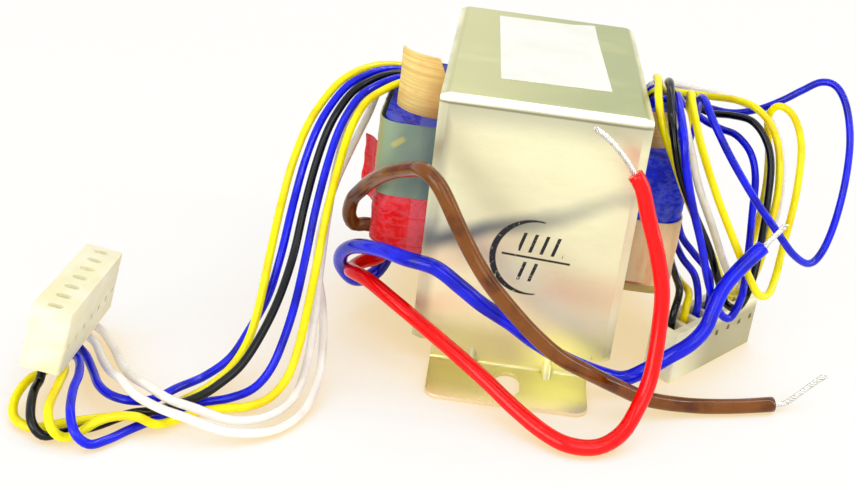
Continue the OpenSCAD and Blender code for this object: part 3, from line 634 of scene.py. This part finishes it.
# The left bundle's middle lead as it leaves the coil, and the step from it to the next lead
LEFT_GUIDE = [
    (-25, 0.5, 42.6), (-25, 0.5, 44.4), (-26.6, 0.2, 45.6), (-29.6, -1.8, 46), (-33, -5, 45.4),
    (-36, -9, 44), (-38, -13, 41.4), (-39.4, -17, 38), (-40.3, -22, 33.2), (-40.8, -28, 27.4),
]
LEFT_STEP = [
    (0, -2.1, 0), (0, -2.1, 0), (0.4, -2.1, 0), (0.9, -1.9, -0.2), (1.2, -1.6, -0.4),
    (1.5, -1.4, -0.3), (1.8, -1, -0.1), (2, -0.5, 0), (2.1, -0.1, 0), (2.1, 0, 0),
]


def left_lane(k):
    """The start of the lead that lies k places from the middle of the left bundle."""
    return [Vector(a) + k * Vector(b) for a, b in zip(LEFT_GUIDE, LEFT_STEP)]


# Each thin lead: its CAD node, its colour, the connector and way that it ends in, and its route
THIN_LEADS = [
    ("left_yellow_lead_1", "yellow", "left", 1, left_lane(-2) + [
        (-45.2, -34.5, 20.6), (-45.4, -39.6, 14), (-46, -43.6, 9), (-47.6, -46.8, 5.4), (-50.4, -49.8, 2.6),
        (-54, -53.4, 1.3), (-58, -57.6, 1), (-62, -59.8, 1), (-66, -61.4, 1), (-70.6, -63.6, 1),
        (-75, -66, 1), (-78.4, -65, 1.6), (-79.8, -61.6, 2.6), (-79.2, -57.6, 3.8)]),
    ("left_blue_lead_1", "blue", "left", 4, left_lane(-1) + [
        (-43.4, -34, 20), (-44.6, -37.4, 13.4), (-46.8, -41, 8.4), (-49, -44.8, 4.8), (-52.4, -48.4, 2.8),
        (-55.8, -53, 2.9), (-58.6, -57.2, 3), (-62, -58.4, 3), (-65.6, -57.6, 3), (-68.5, -55, 2.8),
        (-71, -50.6, 2.2), (-73.8, -46.2, 2.2)]),
    ("left_black_lead", "black", "left", 0, left_lane(0) + [
        (-41, -35, 21), (-42, -41, 15.4), (-43.8, -46, 10.6), (-46, -49.6, 6.8), (-48.6, -52.2, 4.6),
        (-51.4, -54.8, 3.2), (-55, -58, 2.9), (-58.2, -60.4, 2.9), (-61.4, -61.4, 2.5), (-66, -63.8, 1.1),
        (-70.4, -66.4, 1), (-72.8, -68, 1.3), (-74.8, -67.2, 3), (-76, -64.4, 4.2), (-76.8, -61, 4.6)]),
    ("left_blue_lead_2", "blue", "left", 3, left_lane(1) + [
        (-38.8, -35, 21), (-39, -41, 15.4), (-39.8, -45.6, 10.4), (-41.2, -48.6, 6), (-43.6, -50.6, 3),
        (-47.4, -52, 1.4), (-51.4, -53.8, 1.1), (-55, -57.4, 1), (-58.2, -60.6, 1), (-60.6, -63.4, 1),
        (-63, -66.6, 1), (-65.2, -68.8, 1.4), (-67.4, -68.8, 3.3), (-69.2, -65.8, 4.9), (-70.9, -60, 4.9),
        (-71.8, -55, 4.5), (-73.8, -50, 4)]),
    ("left_yellow_lead_2", "yellow", "left", 2, left_lane(2) + [
        (-36.6, -35, 21), (-36.7, -41.5, 15), (-37, -46.4, 10), (-38, -49.6, 5.6), (-40.4, -52, 2.6),
        (-44, -53.6, 1.3), (-48, -54.6, 1), (-52, -56.8, 1), (-54.8, -59.8, 1), (-57, -62, 1.7),
        (-59.4, -62.8, 3.2), (-62.4, -63.6, 3.5), (-65, -65, 3.1), (-68.8, -67.6, 1.3), (-71, -68.6, 3.1),
        (-72.6, -66, 5.1), (-73.6, -59, 5), (-74.6, -54, 4.5)]),
    ("left_white_lead_1", "white", "left", 6, [
        (-25, 7.5, 42.6), (-25, 7.5, 44.4), (-26.4, 7.4, 45.6), (-28.8, 6, 44.9), (-32, 1.5, 43.2),
        (-34.5, -6, 41), (-36.3, -11.5, 37.4), (-37, -17.5, 31.6), (-37, -24, 24.5), (-36.6, -31, 17.2),
        (-36, -37.5, 11), (-35.6, -44, 6), (-36.4, -50.6, 2.6), (-39.8, -56.4, 2), (-45, -59.8, 2.8),
        (-51, -60.6, 4.8), (-55.5, -59.6, 5.2), (-59.6, -57, 5.3), (-63.4, -53, 3.8), (-66.8, -47.6, 1.8),
        (-70.4, -41.6, 1.3), (-74, -37, 1.5)]),
    ("left_white_lead_2", "white", "left", 5, [
        (-25, 10, 42.6), (-25, 10, 44.2), (-26.4, 9.9, 45.4), (-28.8, 8.4, 44.6), (-32.2, 3.6, 41.2),
        (-33.5, -3.5, 37.5), (-35.4, -8, 32.5), (-37.4, -13, 26.5), (-38.4, -19, 20.5), (-38, -26, 15.5),
        (-35.4, -33, 11), (-33.8, -39.5, 7), (-33.2, -46, 3.6), (-34.4, -52.6, 1.4), (-38.2, -58.8, 1.2),
        (-44.8, -62.4, 2.4), (-51.5, -63.2, 4.6), (-56.5, -62, 5), (-61, -59.6, 5.2), (-64.8, -55.4, 4.9),
        (-68.2, -50.4, 2.7), (-71.2, -45.6, 1.6), (-74, -41.2, 1.8)]),
    ("right_yellow_lead_1", "yellow", "right", 1, [
        (23, 13.4, 42.6), (23, 13.4, 44), (24.6, 13.8, 45), (28, 14.8, 44.8), (31.8, 14.8, 44.8),
        (35.8, 11.8, 45.8), (39.6, 7.4, 47.2), (43, 4.2, 47.2), (46.4, 2.2, 44.6), (48.6, 0, 40),
        (49.2, -4, 33), (48, -8.5, 26.5), (46.6, -12.4, 20.5), (44.6, -15, 16.8), (41.6, -17, 16),
        (39, -18.6, 18.5), (36, -19.6, 24), (32.2, -20.6, 30), (27.8, -21.2, 37.3), (24.3, -21.4, 44),
        (21.6, -20.4, 49), (20.3, -17.4, 53.4), (20.4, -12, 55.2), (20.8, -6, 53.8), (22.6, 0.4, 50.4),
        (26, 6, 47), (30, 8.8, 43.8), (31.2, 9, 39.4), (31, 8.8, 31), (31, 8.2, 24), (31, 6, 17.6),
        (31, 2, 14.2), (31.4, -4, 13.4), (32.2, -10.4, 14), (33.2, -17, 15)]),
    ("right_black_lead", "black", "right", 0, [
        (23, 11.4, 42.6), (23, 11.4, 43.9), (24.6, 11.8, 44.7), (28, 12.8, 44.3), (31.6, 12.9, 43.2),
        (35.4, 10, 42.8), (39, 5.6, 44.4), (42.4, 2, 45), (45.2, -0.4, 42.6), (46.8, -2.8, 38.5),
        (46.9, -6.6, 32), (46, -12.4, 25), (44.6, -17.4, 18.4), (42.6, -19.8, 14.6), (39.8, -20.6, 15.6),
        (37.6, -21.4, 20), (34, -22.6, 27.5), (29.8, -23.6, 34.5), (26, -24, 41.5), (23.8, -23.2, 47.5),
        (22.5, -19, 52.6), (22.6, -12.6, 55), (23.2, -6, 53.2), (25.4, 0, 49.4), (29, 4.8, 45.2),
        (30.9, 6.8, 41.2), (31.1, 6.6, 36), (31, 6.6, 29), (31, 5.2, 22), (31, 2, 16.8), (30.9, -4, 15.4),
        (30.9, -12, 15.8), (31, -19, 16)]),
    ("right_blue_lead_1", "blue", "right", 2, [
        (23, 9.4, 42.6), (23, 9.4, 43.8), (24.6, 9.8, 44.5), (28, 10.8, 44), (31.4, 10.9, 42.6),
        (34.6, 8.4, 41.4), (37.4, 5, 41.4), (40, 1.8, 41.6), (42.8, -1, 39.4), (44.2, -3.6, 35.4),
        (44, -8.6, 29.6), (43.6, -14.4, 23), (42.6, -20.4, 17.6), (40.4, -23.8, 14.2), (37.4, -24.6, 16.4),
        (34.6, -24.9, 22), (31.6, -26, 30), (28.5, -26.6, 37.5), (26.1, -26, 44.5), (24.9, -23.3, 49.8),
        (24.3, -14, 53), (25.5, -7, 51), (27.6, -1, 47.4), (29.8, 3.2, 43.4), (31, 4.6, 39), (31, 4.4, 29),
        (31.1, 3, 22.6), (31.4, -0.4, 18.6), (32.6, -6.6, 17.2), (34.6, -13, 16.6)]),
    ("right_blue_lead_2", "blue", "right", 3, [
        (23, 15.4, 42.6), (23, 15.4, 44), (24.6, 15.9, 44.8), (28.4, 16.8, 43.8), (34, 15.6, 42.4),
        (40, 12, 42.8), (45, 10, 45), (49, 8.6, 48), (52.4, 7.8, 51), (55.4, 6.6, 53.6), (58.2, 5, 53.6),
        (60.6, 3, 50.2), (62, 0, 44.2), (61.8, -4, 37), (60.6, -7.7, 29.6), (58.6, -10.8, 24.4),
        (55.8, -13.4, 22.8), (51.6, -15.8, 25.5), (46.8, -17.2, 30.8), (41.8, -17.4, 36.2),
        (36.2, -16.4, 43), (32, -13.8, 48.8), (30.2, -9, 51.6), (30, -4, 50), (30.9, 0.2, 45.6),
        (31, 2.3, 40), (31, 2.2, 30), (31.2, 0.6, 24), (32.2, -3, 20.4), (34.6, -7.4, 18.8),
        (37.4, -11.6, 17)]),
    ("right_yellow_lead_2", "yellow", "right", 5, [
        (28, -8.5, 42.6), (28, -8.5, 44.8), (27.8, -8.4, 48.6), (27.3, -9.2, 52), (27, -11.2, 53.2),
        (27.2, -14, 52), (28.6, -17.4, 48), (30.2, -18.6, 44.4), (34, -19.8, 37), (39, -20.5, 28.4),
        (43, -21.4, 22), (45.5, -21.4, 18.7), (47.8, -19.6, 18.3), (49.4, -15.8, 20.5), (50.8, -11, 24.5),
        (52.6, -5, 33), (52.8, 0, 41.6), (51, 4, 46.4), (48, 6, 47.6), (46.6, 6.6, 44.6), (47.6, 4.8, 39),
        (47.8, 1, 33), (47, -3, 26.5), (45.2, -7.2, 19)]),
    ("right_white_lead_1", "white", "right", 4, [
        (25, -11, 42.6), (25, -11, 44.6), (25.2, -11.4, 48), (25.3, -13, 50.2), (25.6, -15, 50.6),
        (26.2, -17, 48.8), (27.2, -17.8, 46.2), (28.2, -18.3, 43.8), (29.2, -18.6, 41), (31, -18.8, 37),
        (34.6, -18, 30.2), (38, -16.4, 23.5), (41, -14, 17.5)]),
    ("right_white_lead_2", "white", "right", 6, [
        (23, 17.4, 42.6), (23, 17.4, 44.2), (24.6, 17.8, 45.2), (28, 18.8, 45), (32, 19, 44.8),
        (38, 17.4, 44.6), (44, 14, 44.2), (48.4, 10.4, 42.4), (50.6, 6, 38), (51, 1, 32),
        (50.4, -2.6, 26), (48.4, -5.2, 19)]),
]

# Each thick lead: its colour, its route and the route of its bare strands
FAT_LEADS = [
    ("brown", [
        (-29, -12.5, 18), (-31.2, -12.5, 18), (-33.2, -13, 18), (-34.2, -14.2, 20.6),
        (-33.6, -16, 24.6), (-32, -18.5, 27.8), (-29.5, -22, 31.8), (-26, -28, 36.5),
        (-22, -34.5, 40.5), (-19.5, -39, 42.5), (-17, -41, 41.5), (-15, -42, 39),
        (-12.5, -43, 35), (-9.5, -44, 30.5), (-6, -45.5, 26.5), (-2, -46, 22.5),
        (2.5, -46.5, 18.5), (7.5, -46, 14.5), (13.5, -43.5, 10.5), (19.5, -40.5, 6.5),
        (25.5, -38.5, 3.5), (34, -36, 1.8), (42, -34, 1.5), (50, -31.5, 1.5)],
        [(50, -31.5, 1.5), (52.4, -30.75, 1.5), (55, -29.6, 3.2), (57.6, -28.4, 5.2), (60, -27.5, 7)]),
    ("blue", [
        (-26, -9.5, 14.5), (-26, -9.5, 12), (-26.8, -10, 9), (-28.4, -11, 6.6),
        (-30.8, -12.6, 5.8), (-32.8, -14.4, 7), (-34.6, -17, 11), (-34, -20.4, 15.4),
        (-31.2, -24.6, 19.2), (-26, -31, 22.5), (-21, -36, 24), (-15.5, -38, 24),
        (-10.5, -38.5, 21), (-6.5, -39, 18.5), (-1, -38, 15), (4, -37.5, 11.5),
        (10.5, -36.5, 8), (17, -34.5, 5), (21.5, -32.5, 3.5), (25, -31.5, 5),
        (29, -32, 9), (32.5, -31.5, 12), (35, -29.5, 14.5), (36, -28, 17.5),
        (37.5, -26, 21.5), (40.5, -24, 25.5), (44, -22, 29)],
        [(44, -22, 29), (45.4, -21.2, 30.4), (46.8, -20.4, 31.9), (48, -19.6, 33.2)]),
    ("red", [
        (-27, -13.6, 14.5), (-27, -13.6, 12.6), (-28.4, -14.2, 11.6), (-30.4, -15.4, 11.4),
        (-31.6, -17.4, 11.4), (-32.2, -20, 11.6), (-31.2, -22.6, 12.6), (-28, -25.8, 13),
        (-23, -29.5, 11.7), (-18, -33, 10.2), (-11, -38.5, 8.4), (-4.5, -43.5, 6.4), (1, -47.5, 4.2),
        (6.5, -51, 2.4), (11, -53, 1.8), (16, -52.5, 1.8), (20, -50, 3.4), (22.5, -46.5, 6.5),
        (24, -44, 10.5), (24.5, -42, 15), (24.5, -40, 20.5), (24, -38.5, 26), (22, -37.5, 32.5),
        (19.5, -36.5, 38.5), (17.6, -35.9, 43.5), (16, -35.5, 45.5)],
        [(16, -35.5, 45.5), (14.4, -35.1, 47.5), (12.4, -34.4, 49.4), (10.2, -33.7, 51), (8, -33, 52)]),
]


def length_of(line):
    """The length of a line through points."""
    return sum((b - a).length for a, b in zip(line, line[1:]))


def lead(node, colour, route, d, sides):
    """An insulated lead that stands for a CAD node."""
    line = spaced(route, 0.5 * d)
    radii = [d / 2 * (1 + 0.02 * noise.noise(p * 0.25)) for p in line]
    # The cut end is a little rounded
    ahead = (line[-1] - line[-2]).normalized()
    shown = line + [line[-1] + ahead * 0.02 * d, line[-1] + ahead * 0.03 * d]
    points, faces = tube(shown, radii + [0.47 * d, 0.4 * d], sides)
    piece = new_piece(node + "_cord", points, faces, colour + "_insulation")
    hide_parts(node)
    path = [p * MM for p in line]
    length_of(path)


def strands(node, route):
    """Seven tinned wires twisted round the route, opening a little at the tip."""
    wires, sides = 7, 8
    step, twist = 0.25, 0.34
    opening = 0.25
    line = spaced(route, step)
    turned = frames(line)
    points, faces = [], []
    r = STRAND / 6
    for w in range(wires):
        # The wires end at slightly different places
        stop = len(line) - (w * 3) % 5
        wire = []
        for i in range(stop):
            _, side, over = turned[i]
            share = i / (len(line) - 1)
            turn = w * math.pi / 3 + i * twist
            out = (2 * r if w else 0) * (1 + opening * share**4)
            wire.append(line[i] + out * (math.cos(turn) * side + math.sin(turn) * over))
        more, quads = tube(wire, [r] * stop, sides)
        faces += [tuple(v + len(points) for v in quad) for quad in quads]
        points += more
    piece = new_piece(node + "_wires", points, faces, "tinned_copper")
    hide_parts(node)
    return piece


for colour, route, end in FAT_LEADS:
    bare = strands(colour + "_strands", end)
    lead(colour + "_lead", colour, route, FAT, FAT_SIDES)
for node, colour, connector, way, route in THIN_LEADS:
    at = left_way if connector == "left" else right_way
    whole = [*route, at(way, -WIRE_STRAIGHT), at(way, WIRE_STOP)]
    ends = [nodes[connector + "_housing"], nodes[connector + "_terminals"]]
    lead(node, colour, whole, THIN, THIN_SIDES)


# Wraps, cuffs and label

COIL_X = 29
COIL_Y = 18.8
COIL_R = 4
COIL_TOP = 42.6
WRAP_X = 17.3
TAPE_T = 0.4
WRAP_T = 0.25
CUFF_T = 0.4
LABEL_T = 0.1
LABEL_GAP = 0.0004
WRAP_GAP = 0.05
RED_SET = 0.45
SHARP = math.radians(50)


def shell(name, node, slot, grid, t, closed=False):
    """A thin sheet on a grid of (point, outward direction), t thick, that stands for a CAD node."""
    rows, columns = len(grid), len(grid[0])
    inner = [p for row in grid for p, _ in row]
    outer = [p + n * t for row in grid for p, n in row]
    size = rows * columns
    faces = []
    span = columns if closed else columns - 1
    for i in range(rows - 1):
        for j in range(span):
            a = i * columns + j
            b = i * columns + (j + 1) % columns
            faces.append((a + columns, b + columns, b, a))
            faces.append((size + a, size + b, size + b + columns, size + a + columns))
    for j in range(span):
        k = (j + 1) % columns
        top = (rows - 1) * columns
        faces.append((j, k, size + k, size + j))
        faces.append((top + k, top + j, size + top + j, size + top + k))
    if not closed:
        for i in range(rows - 1):
            a, b = i * columns, (i + 1) * columns
            faces.append((b, a, size + a, size + b))
            a, b = a + columns - 1, b + columns - 1
            faces.append((a, b, size + b, size + a))
    piece = new_piece(name, inner + outer, faces, slot)
    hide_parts(node)
    edge = piece.modifiers.new("edges", "EDGE_SPLIT")
    edge.split_angle = SHARP


def side_outline(side, grow):
    """Points and outward directions along the coil's outline on one side, from front to back."""
    x, y, r = COIL_X + grow, COIL_Y + grow, COIL_R + grow
    made = []

    def straight(a, b, n):
        steps = math.ceil((b - a).length / 0.8)
        made.extend((a.lerp(b, k / steps), n) for k in range(steps))

    def corner(centre, start):
        for k in range(10):
            turn = math.radians(start + 9 * k)
            n = Vector((math.cos(turn), math.sin(turn), 0))
            made.append((centre + r * n, n))

    straight(Vector((WRAP_X, -y, 0)), Vector((x - r, -y, 0)), Vector((0, -1, 0)))
    corner(Vector((x - r, r - y, 0)), -90)
    straight(Vector((x, r - y, 0)), Vector((x, y - r, 0)), Vector((1, 0, 0)))
    corner(Vector((x - r, y - r, 0)), 0)
    straight(Vector((x - r, y, 0)), Vector((WRAP_X, y, 0)), Vector((0, 1, 0)))
    made.append((Vector((WRAP_X, y, 0)), Vector((0, 1, 0))))
    if side < 0:
        made = [(Vector((-p.x, p.y, 0)), Vector((-n.x, n.y, 0))) for p, n in made]
    return made


def wrinkle(p, size, depth):
    """An outward swell with sharp folds, never negative."""
    soft = noise.noise(p / size)
    sharp = 1 - abs(noise.noise(p / (0.5 * size) + Vector((7, 3, 1)))) * 3
    return depth * max(0.0, 0.5 + 0.5 * soft + 0.4 * max(0.0, sharp)) / 1.4


def wall(outline, z0, z1, swell):
    """A grid that runs up a wall over an outline; swell(p) moves a point outwards."""
    steps = max(2, math.ceil((z1 - z0) / 0.5))
    grid = []
    for i in range(steps + 1):
        z = z0 + (z1 - z0) * i / steps
        row = []
        for p, n in outline:
            q = Vector((p.x, p.y, z))
            row.append((q + n * swell(q), n))
        grid.append(row)
    return grid


def fade(value, start, end):
    """A smooth step from 0 at start to 1 at end."""
    t = min(1.0, max(0.0, (value - start) / (end - start)))
    return t * t * (3 - 2 * t)


def red_swell(p):
    """The red tape lies loose on the left, below the film."""
    free = fade(-p.x, 18, 21) * fade(27.2, p.z, p.z + 2) * fade(p.z, 16.4, 17.4)
    slack = 0.7 * fade(-p.x, 25, 28.6)
    return free * (slack + wrinkle(Vector((p.x, p.y, p.z * 0.5)), 4.5, 0.5))


def blue_swell(p):
    """The blue tape lies loose on the right, above the paper."""
    free = fade(p.x, 18, 21) * fade(p.z, 30.2, 32) * fade(42.4, p.z, p.z + 1.2)
    return free * wrinkle(Vector((p.x, p.y, p.z * 0.8)), 4.0, 0.45)


def film_swell(p):
    """The film stands off the left of the coil."""
    return 0.6 * fade(-p.x, 25, 28.8) + wrinkle(p, 9, 0.3) * fade(-p.x, 17.5, 22)


def paper_swell(p):
    """The paper waves a little beside the stack's end."""
    return wrinkle(p, 10, 0.3) * fade(p.x, 17.5, 22)


def band(grow):
    """The outline of the whole coil."""
    return side_outline(1, grow) + side_outline(-1, grow)[::-1]


def wrap(name, node, slot, outline, swell, t, closed=False):
    """A sheet round the coil, as high as the CAD node that it stands for."""
    low, high = corners(node)
    shell(name, node, slot, wall(outline, low.z, high.z, swell), t, closed)


wrap("primary_tape_wrap", "primary_tape", "red_tape", band(-RED_SET), red_swell, TAPE_T, True)
wrap("secondary_tape_wrap", "secondary_tape", "blue_tape", band(-TAPE_T), blue_swell, TAPE_T, True)
wrap("film_wrap_sheet", "film_wrap", "clear_film", side_outline(-1, WRAP_GAP), film_swell, WRAP_T)
wrap("paper_wrap_sheet", "paper_wrap", "cream_paper", side_outline(1, WRAP_GAP), paper_swell, WRAP_T)


def coil_lid(side):
    """The tape over the top of the coil, outside the stack, with slight folds."""
    outline = side_outline(side, -TAPE_T)
    steps = 24
    grid = []
    for i in range(steps + 1):
        row = []
        for p, _ in outline:
            # Rows run from the outline in to the straight edge by the stack
            q = Vector((p.x + (side * WRAP_X - p.x) * i / steps, p.y, COIL_TOP - TAPE_T))
            free = fade(i, 0, 3) * fade(steps - i, 0, 3)
            q.z += free * (wrinkle(q, 5, 0.2) - 0.1)
            row.append((q, Vector((0, 0, 1))))
        grid.append(row if side > 0 else row[::-1])
    name = ("left" if side < 0 else "right") + "_coil_lid"
    shell(name, "secondary_tape", "blue_tape", grid, TAPE_T - 0.02)


coil_lid(-1)
coil_lid(1)


def tail():
    """The loose end of the red tape, curling away from the coil."""
    low, high = corners("tape_tail")
    r = 12
    arc = math.radians(45)
    rows, columns = 26, 24
    x0 = -COIL_X - 0.35 - r
    y0 = -COIL_Y + COIL_R + 2
    grid = []
    for i in range(rows + 1):
        z = low.z + (high.z - low.z) * i / rows
        row = []
        for k in range(columns + 1):
            share = k / columns
            turn = arc * share
            n = Vector((math.cos(turn), math.sin(turn), 0))
            loose = r - WRAP_T - share * 0.5 * (1 + noise.noise(Vector((share * 3, z * 0.3, 4))))
            row.append((Vector((x0, y0, z)) + n * loose, n))
        grid.append(row)
    shell("tape_tail_flap", "tape_tail", "red_tape", grid, WRAP_T - 0.01)


tail()


def cuff(node, side, arc, rise):
    """A strip of stiff paper that stands on the coil, straight by the stack and then curved."""
    low, high = corners(node)
    x0, y0, r = 19.5, -5.5, 9
    ahead = Vector((0, -1, 0))
    outline = []
    for k in range(4):
        outline.append((Vector((WRAP_X + (x0 - WRAP_X) * k / 4, y0 - r + CUFF_T, 0)), ahead))
    steps = math.ceil(arc / 4)
    for k in range(steps + 1):
        turn = math.radians(-90 + arc * k / steps)
        n = Vector((math.cos(turn), math.sin(turn), 0))
        outline.append((Vector((x0, y0, 0)) + n * (r - CUFF_T), n))
    if side < 0:
        outline = [(Vector((-p.x, p.y, 0)), Vector((-n.x, n.y, 0))) for p, n in outline][::-1]

    def lean(p):
        """The top of the strip leans in a little where it is curved."""
        up = (p.z - low.z) / (high.z - low.z)
        return -0.25 * up * (1 + noise.noise(p / 6)) * fade(abs(p.x), 19, 21)

    grid = wall(outline, low.z, high.z, lean)
    for row in grid:
        for p, _ in row:
            tucked = rise * (1 - fade(abs(p.x), 18.9, 20.2))
            p.z -= tucked * (p.z - low.z) / (high.z - low.z)
    shell(node + "_strip", node, "kraft_paper", grid, CUFF_T)


cuff("left_cuff", -1, 65, 2.6)
cuff("right_cuff", 1, 30, 0)


def label():
    """A blank paper label on top of the clamp, with one corner that lifts a little."""
    w, run = 20.5, 41.5
    rows, columns = 42, 21
    centre = Vector((0.7, 3.55, CLAMP_TOP + LABEL_GAP))
    spin = Matrix.Rotation(math.radians(2.4), 3, "Z")
    grid = []
    for i in range(rows + 1):
        row = []
        for j in range(columns + 1):
            u, v = j / columns, i / rows
            lift = 0.35 * fade(u + v, 1.72, 2.0) + 0.02 * (1 + noise.noise(Vector((u * 5, v * 9, 2))))
            p = centre + spin @ Vector(((u - 0.5) * w, (v - 0.5) * run, 0))
            row.append((p + Vector((0, 0, lift)), Vector((0, 0, 1))))
        grid.append(row)
    shell("top_label_sheet", "top_label", "white_label", grid, LABEL_T)


label()


# Edges of the metal and moulded parts

EDGE_ROUND = {"clamp_frame": 0.12, "left_housing": 0.25, "right_housing": 0.25, "bobbin": 0.25}
for name, width in EDGE_ROUND.items():
    weld = nodes[name].modifiers.new("weld", "WELD")
    weld.merge_threshold = 1e-6
    bevel = nodes[name].modifiers.new("edges", "BEVEL")
    bevel.width = width * MM
    bevel.segments = 2
    bevel.limit_method = "ANGLE"
    bevel.angle_limit = SHARP
    bevel.harden_normals = True


# Studio

WHITE = (1.0, 1.0, 1.0)
WARM = (1.0, 0.98, 0.94)
AIM = Vector((0, 0, 0.02))


def in_view(start):
    """One where the camera, metal or glass looks, and nought for the light on the object."""
    kinds = ("Is Camera Ray", "Is Glossy Ray", "Is Transmission Ray")
    camera, glossy, through = (start.make("LightPath", {}, out=kind) for kind in kinds)
    return camera.high(glossy).high(through)


def floor():
    """A pale table top, brightened for the camera so that only soft warm shadows stay."""
    made = bpy.data.materials.new("table_top")
    made.use_nodes = True
    made.node_tree.nodes.clear()
    start = Wire(made.node_tree)
    tone = start.make("TexCoord", {}, out="Object").cloud(20.0, 3)
    # The shade is looked for towards the right and the back, so that it falls to the left and the front
    towards = (0.72, 0.2, 0.66)
    wide = start.make("AmbientOcclusion", {"Distance": 0.12, "Normal": towards}, out="AO", samples=8)
    near = start.make("AmbientOcclusion", {"Distance": 0.02}, out="AO", samples=8)
    clear = wide.ramp(0.2, 0.8) * near.ramp(0.1, 0.7)
    colour = tone.tint(shade(255, 249, 238), shade(255, 252, 245))
    tint = clear.tint(shade(250, 222, 170), WHITE)
    table = start.make("BsdfPrincipled", {"Base Color": colour, "Roughness": 0.45 + tone * 0.1})
    glow = start.make("Emission", {"Color": tint, "Strength": 1.0})
    surface = start.make("MixShader", {0: in_view(start) * 0.82, 1: table, 2: glow})
    start.make("OutputMaterial", {"Surface": surface})
    reach = 4.0
    ends = [(-reach, -reach, 0), (reach, -reach, 0), (reach, reach, 0), (-reach, reach, 0)]
    mesh = bpy.data.meshes.new("floor")
    mesh.from_pydata(ends, [], [(0, 1, 2, 3)])
    mesh.materials.append(made)
    top = bpy.data.objects.new("floor", mesh)
    scene.collection.objects.link(top)


def softbox(name, place, size, power, colour):
    """A rectangular lamp that faces the object."""
    data = bpy.data.lights.new(name, "AREA")
    data.shape = "RECTANGLE"
    data.size, data.size_y = size
    data.energy = power
    data.color = colour
    light = bpy.data.objects.new(name, data)
    light.location = place
    light.rotation_mode = "QUATERNION"
    light.rotation_quaternion = (AIM - Vector(place)).to_track_quat("-Z", "Y")
    scene.collection.objects.link(light)


def sky():
    """White to the camera, metal and glass. The light on the object is dimmer from behind."""
    world = bpy.data.worlds.new("studio")
    world.use_nodes = True
    tree = world.node_tree
    tree.nodes.clear()
    start = Wire(tree)
    _, y, _ = start.make("TexCoord", {}, out="Generated").axes()
    behind = y.ramp(-0.2, 0.7)
    seen = in_view(start)
    light = (behind * 0.5).tint((1.0, 0.97, 0.9), shade(216, 212, 186))
    colour = seen.tint(light, WHITE)
    surface = start.make("Background", {"Color": colour, "Strength": 0.48 + seen * 0.55})
    start.make("OutputWorld", {"Surface": surface})
    scene.world = world


floor()
sky()
softbox("key", (0.35, 0.5, 1.1), (1.6, 0.1), 4.0, (1.0, 0.99, 0.97))
softbox("top_strip", (0, -0.35, 1.0), (1.4, 0.05), 1.5, WHITE)
softbox("side_strip", (0.9, 0.05, 0.5), (0.06, 0.9), 2.6, (1.0, 1.0, 0.98))
softbox("left_fill", (-0.5, -0.65, 0.3), (0.5, 0.5), 3.2, WARM)
softbox("front_fill", (0.25, -0.8, 0.6), (0.6, 0.6), 2.4, WARM)
scene.view_settings.view_transform = "Standard"
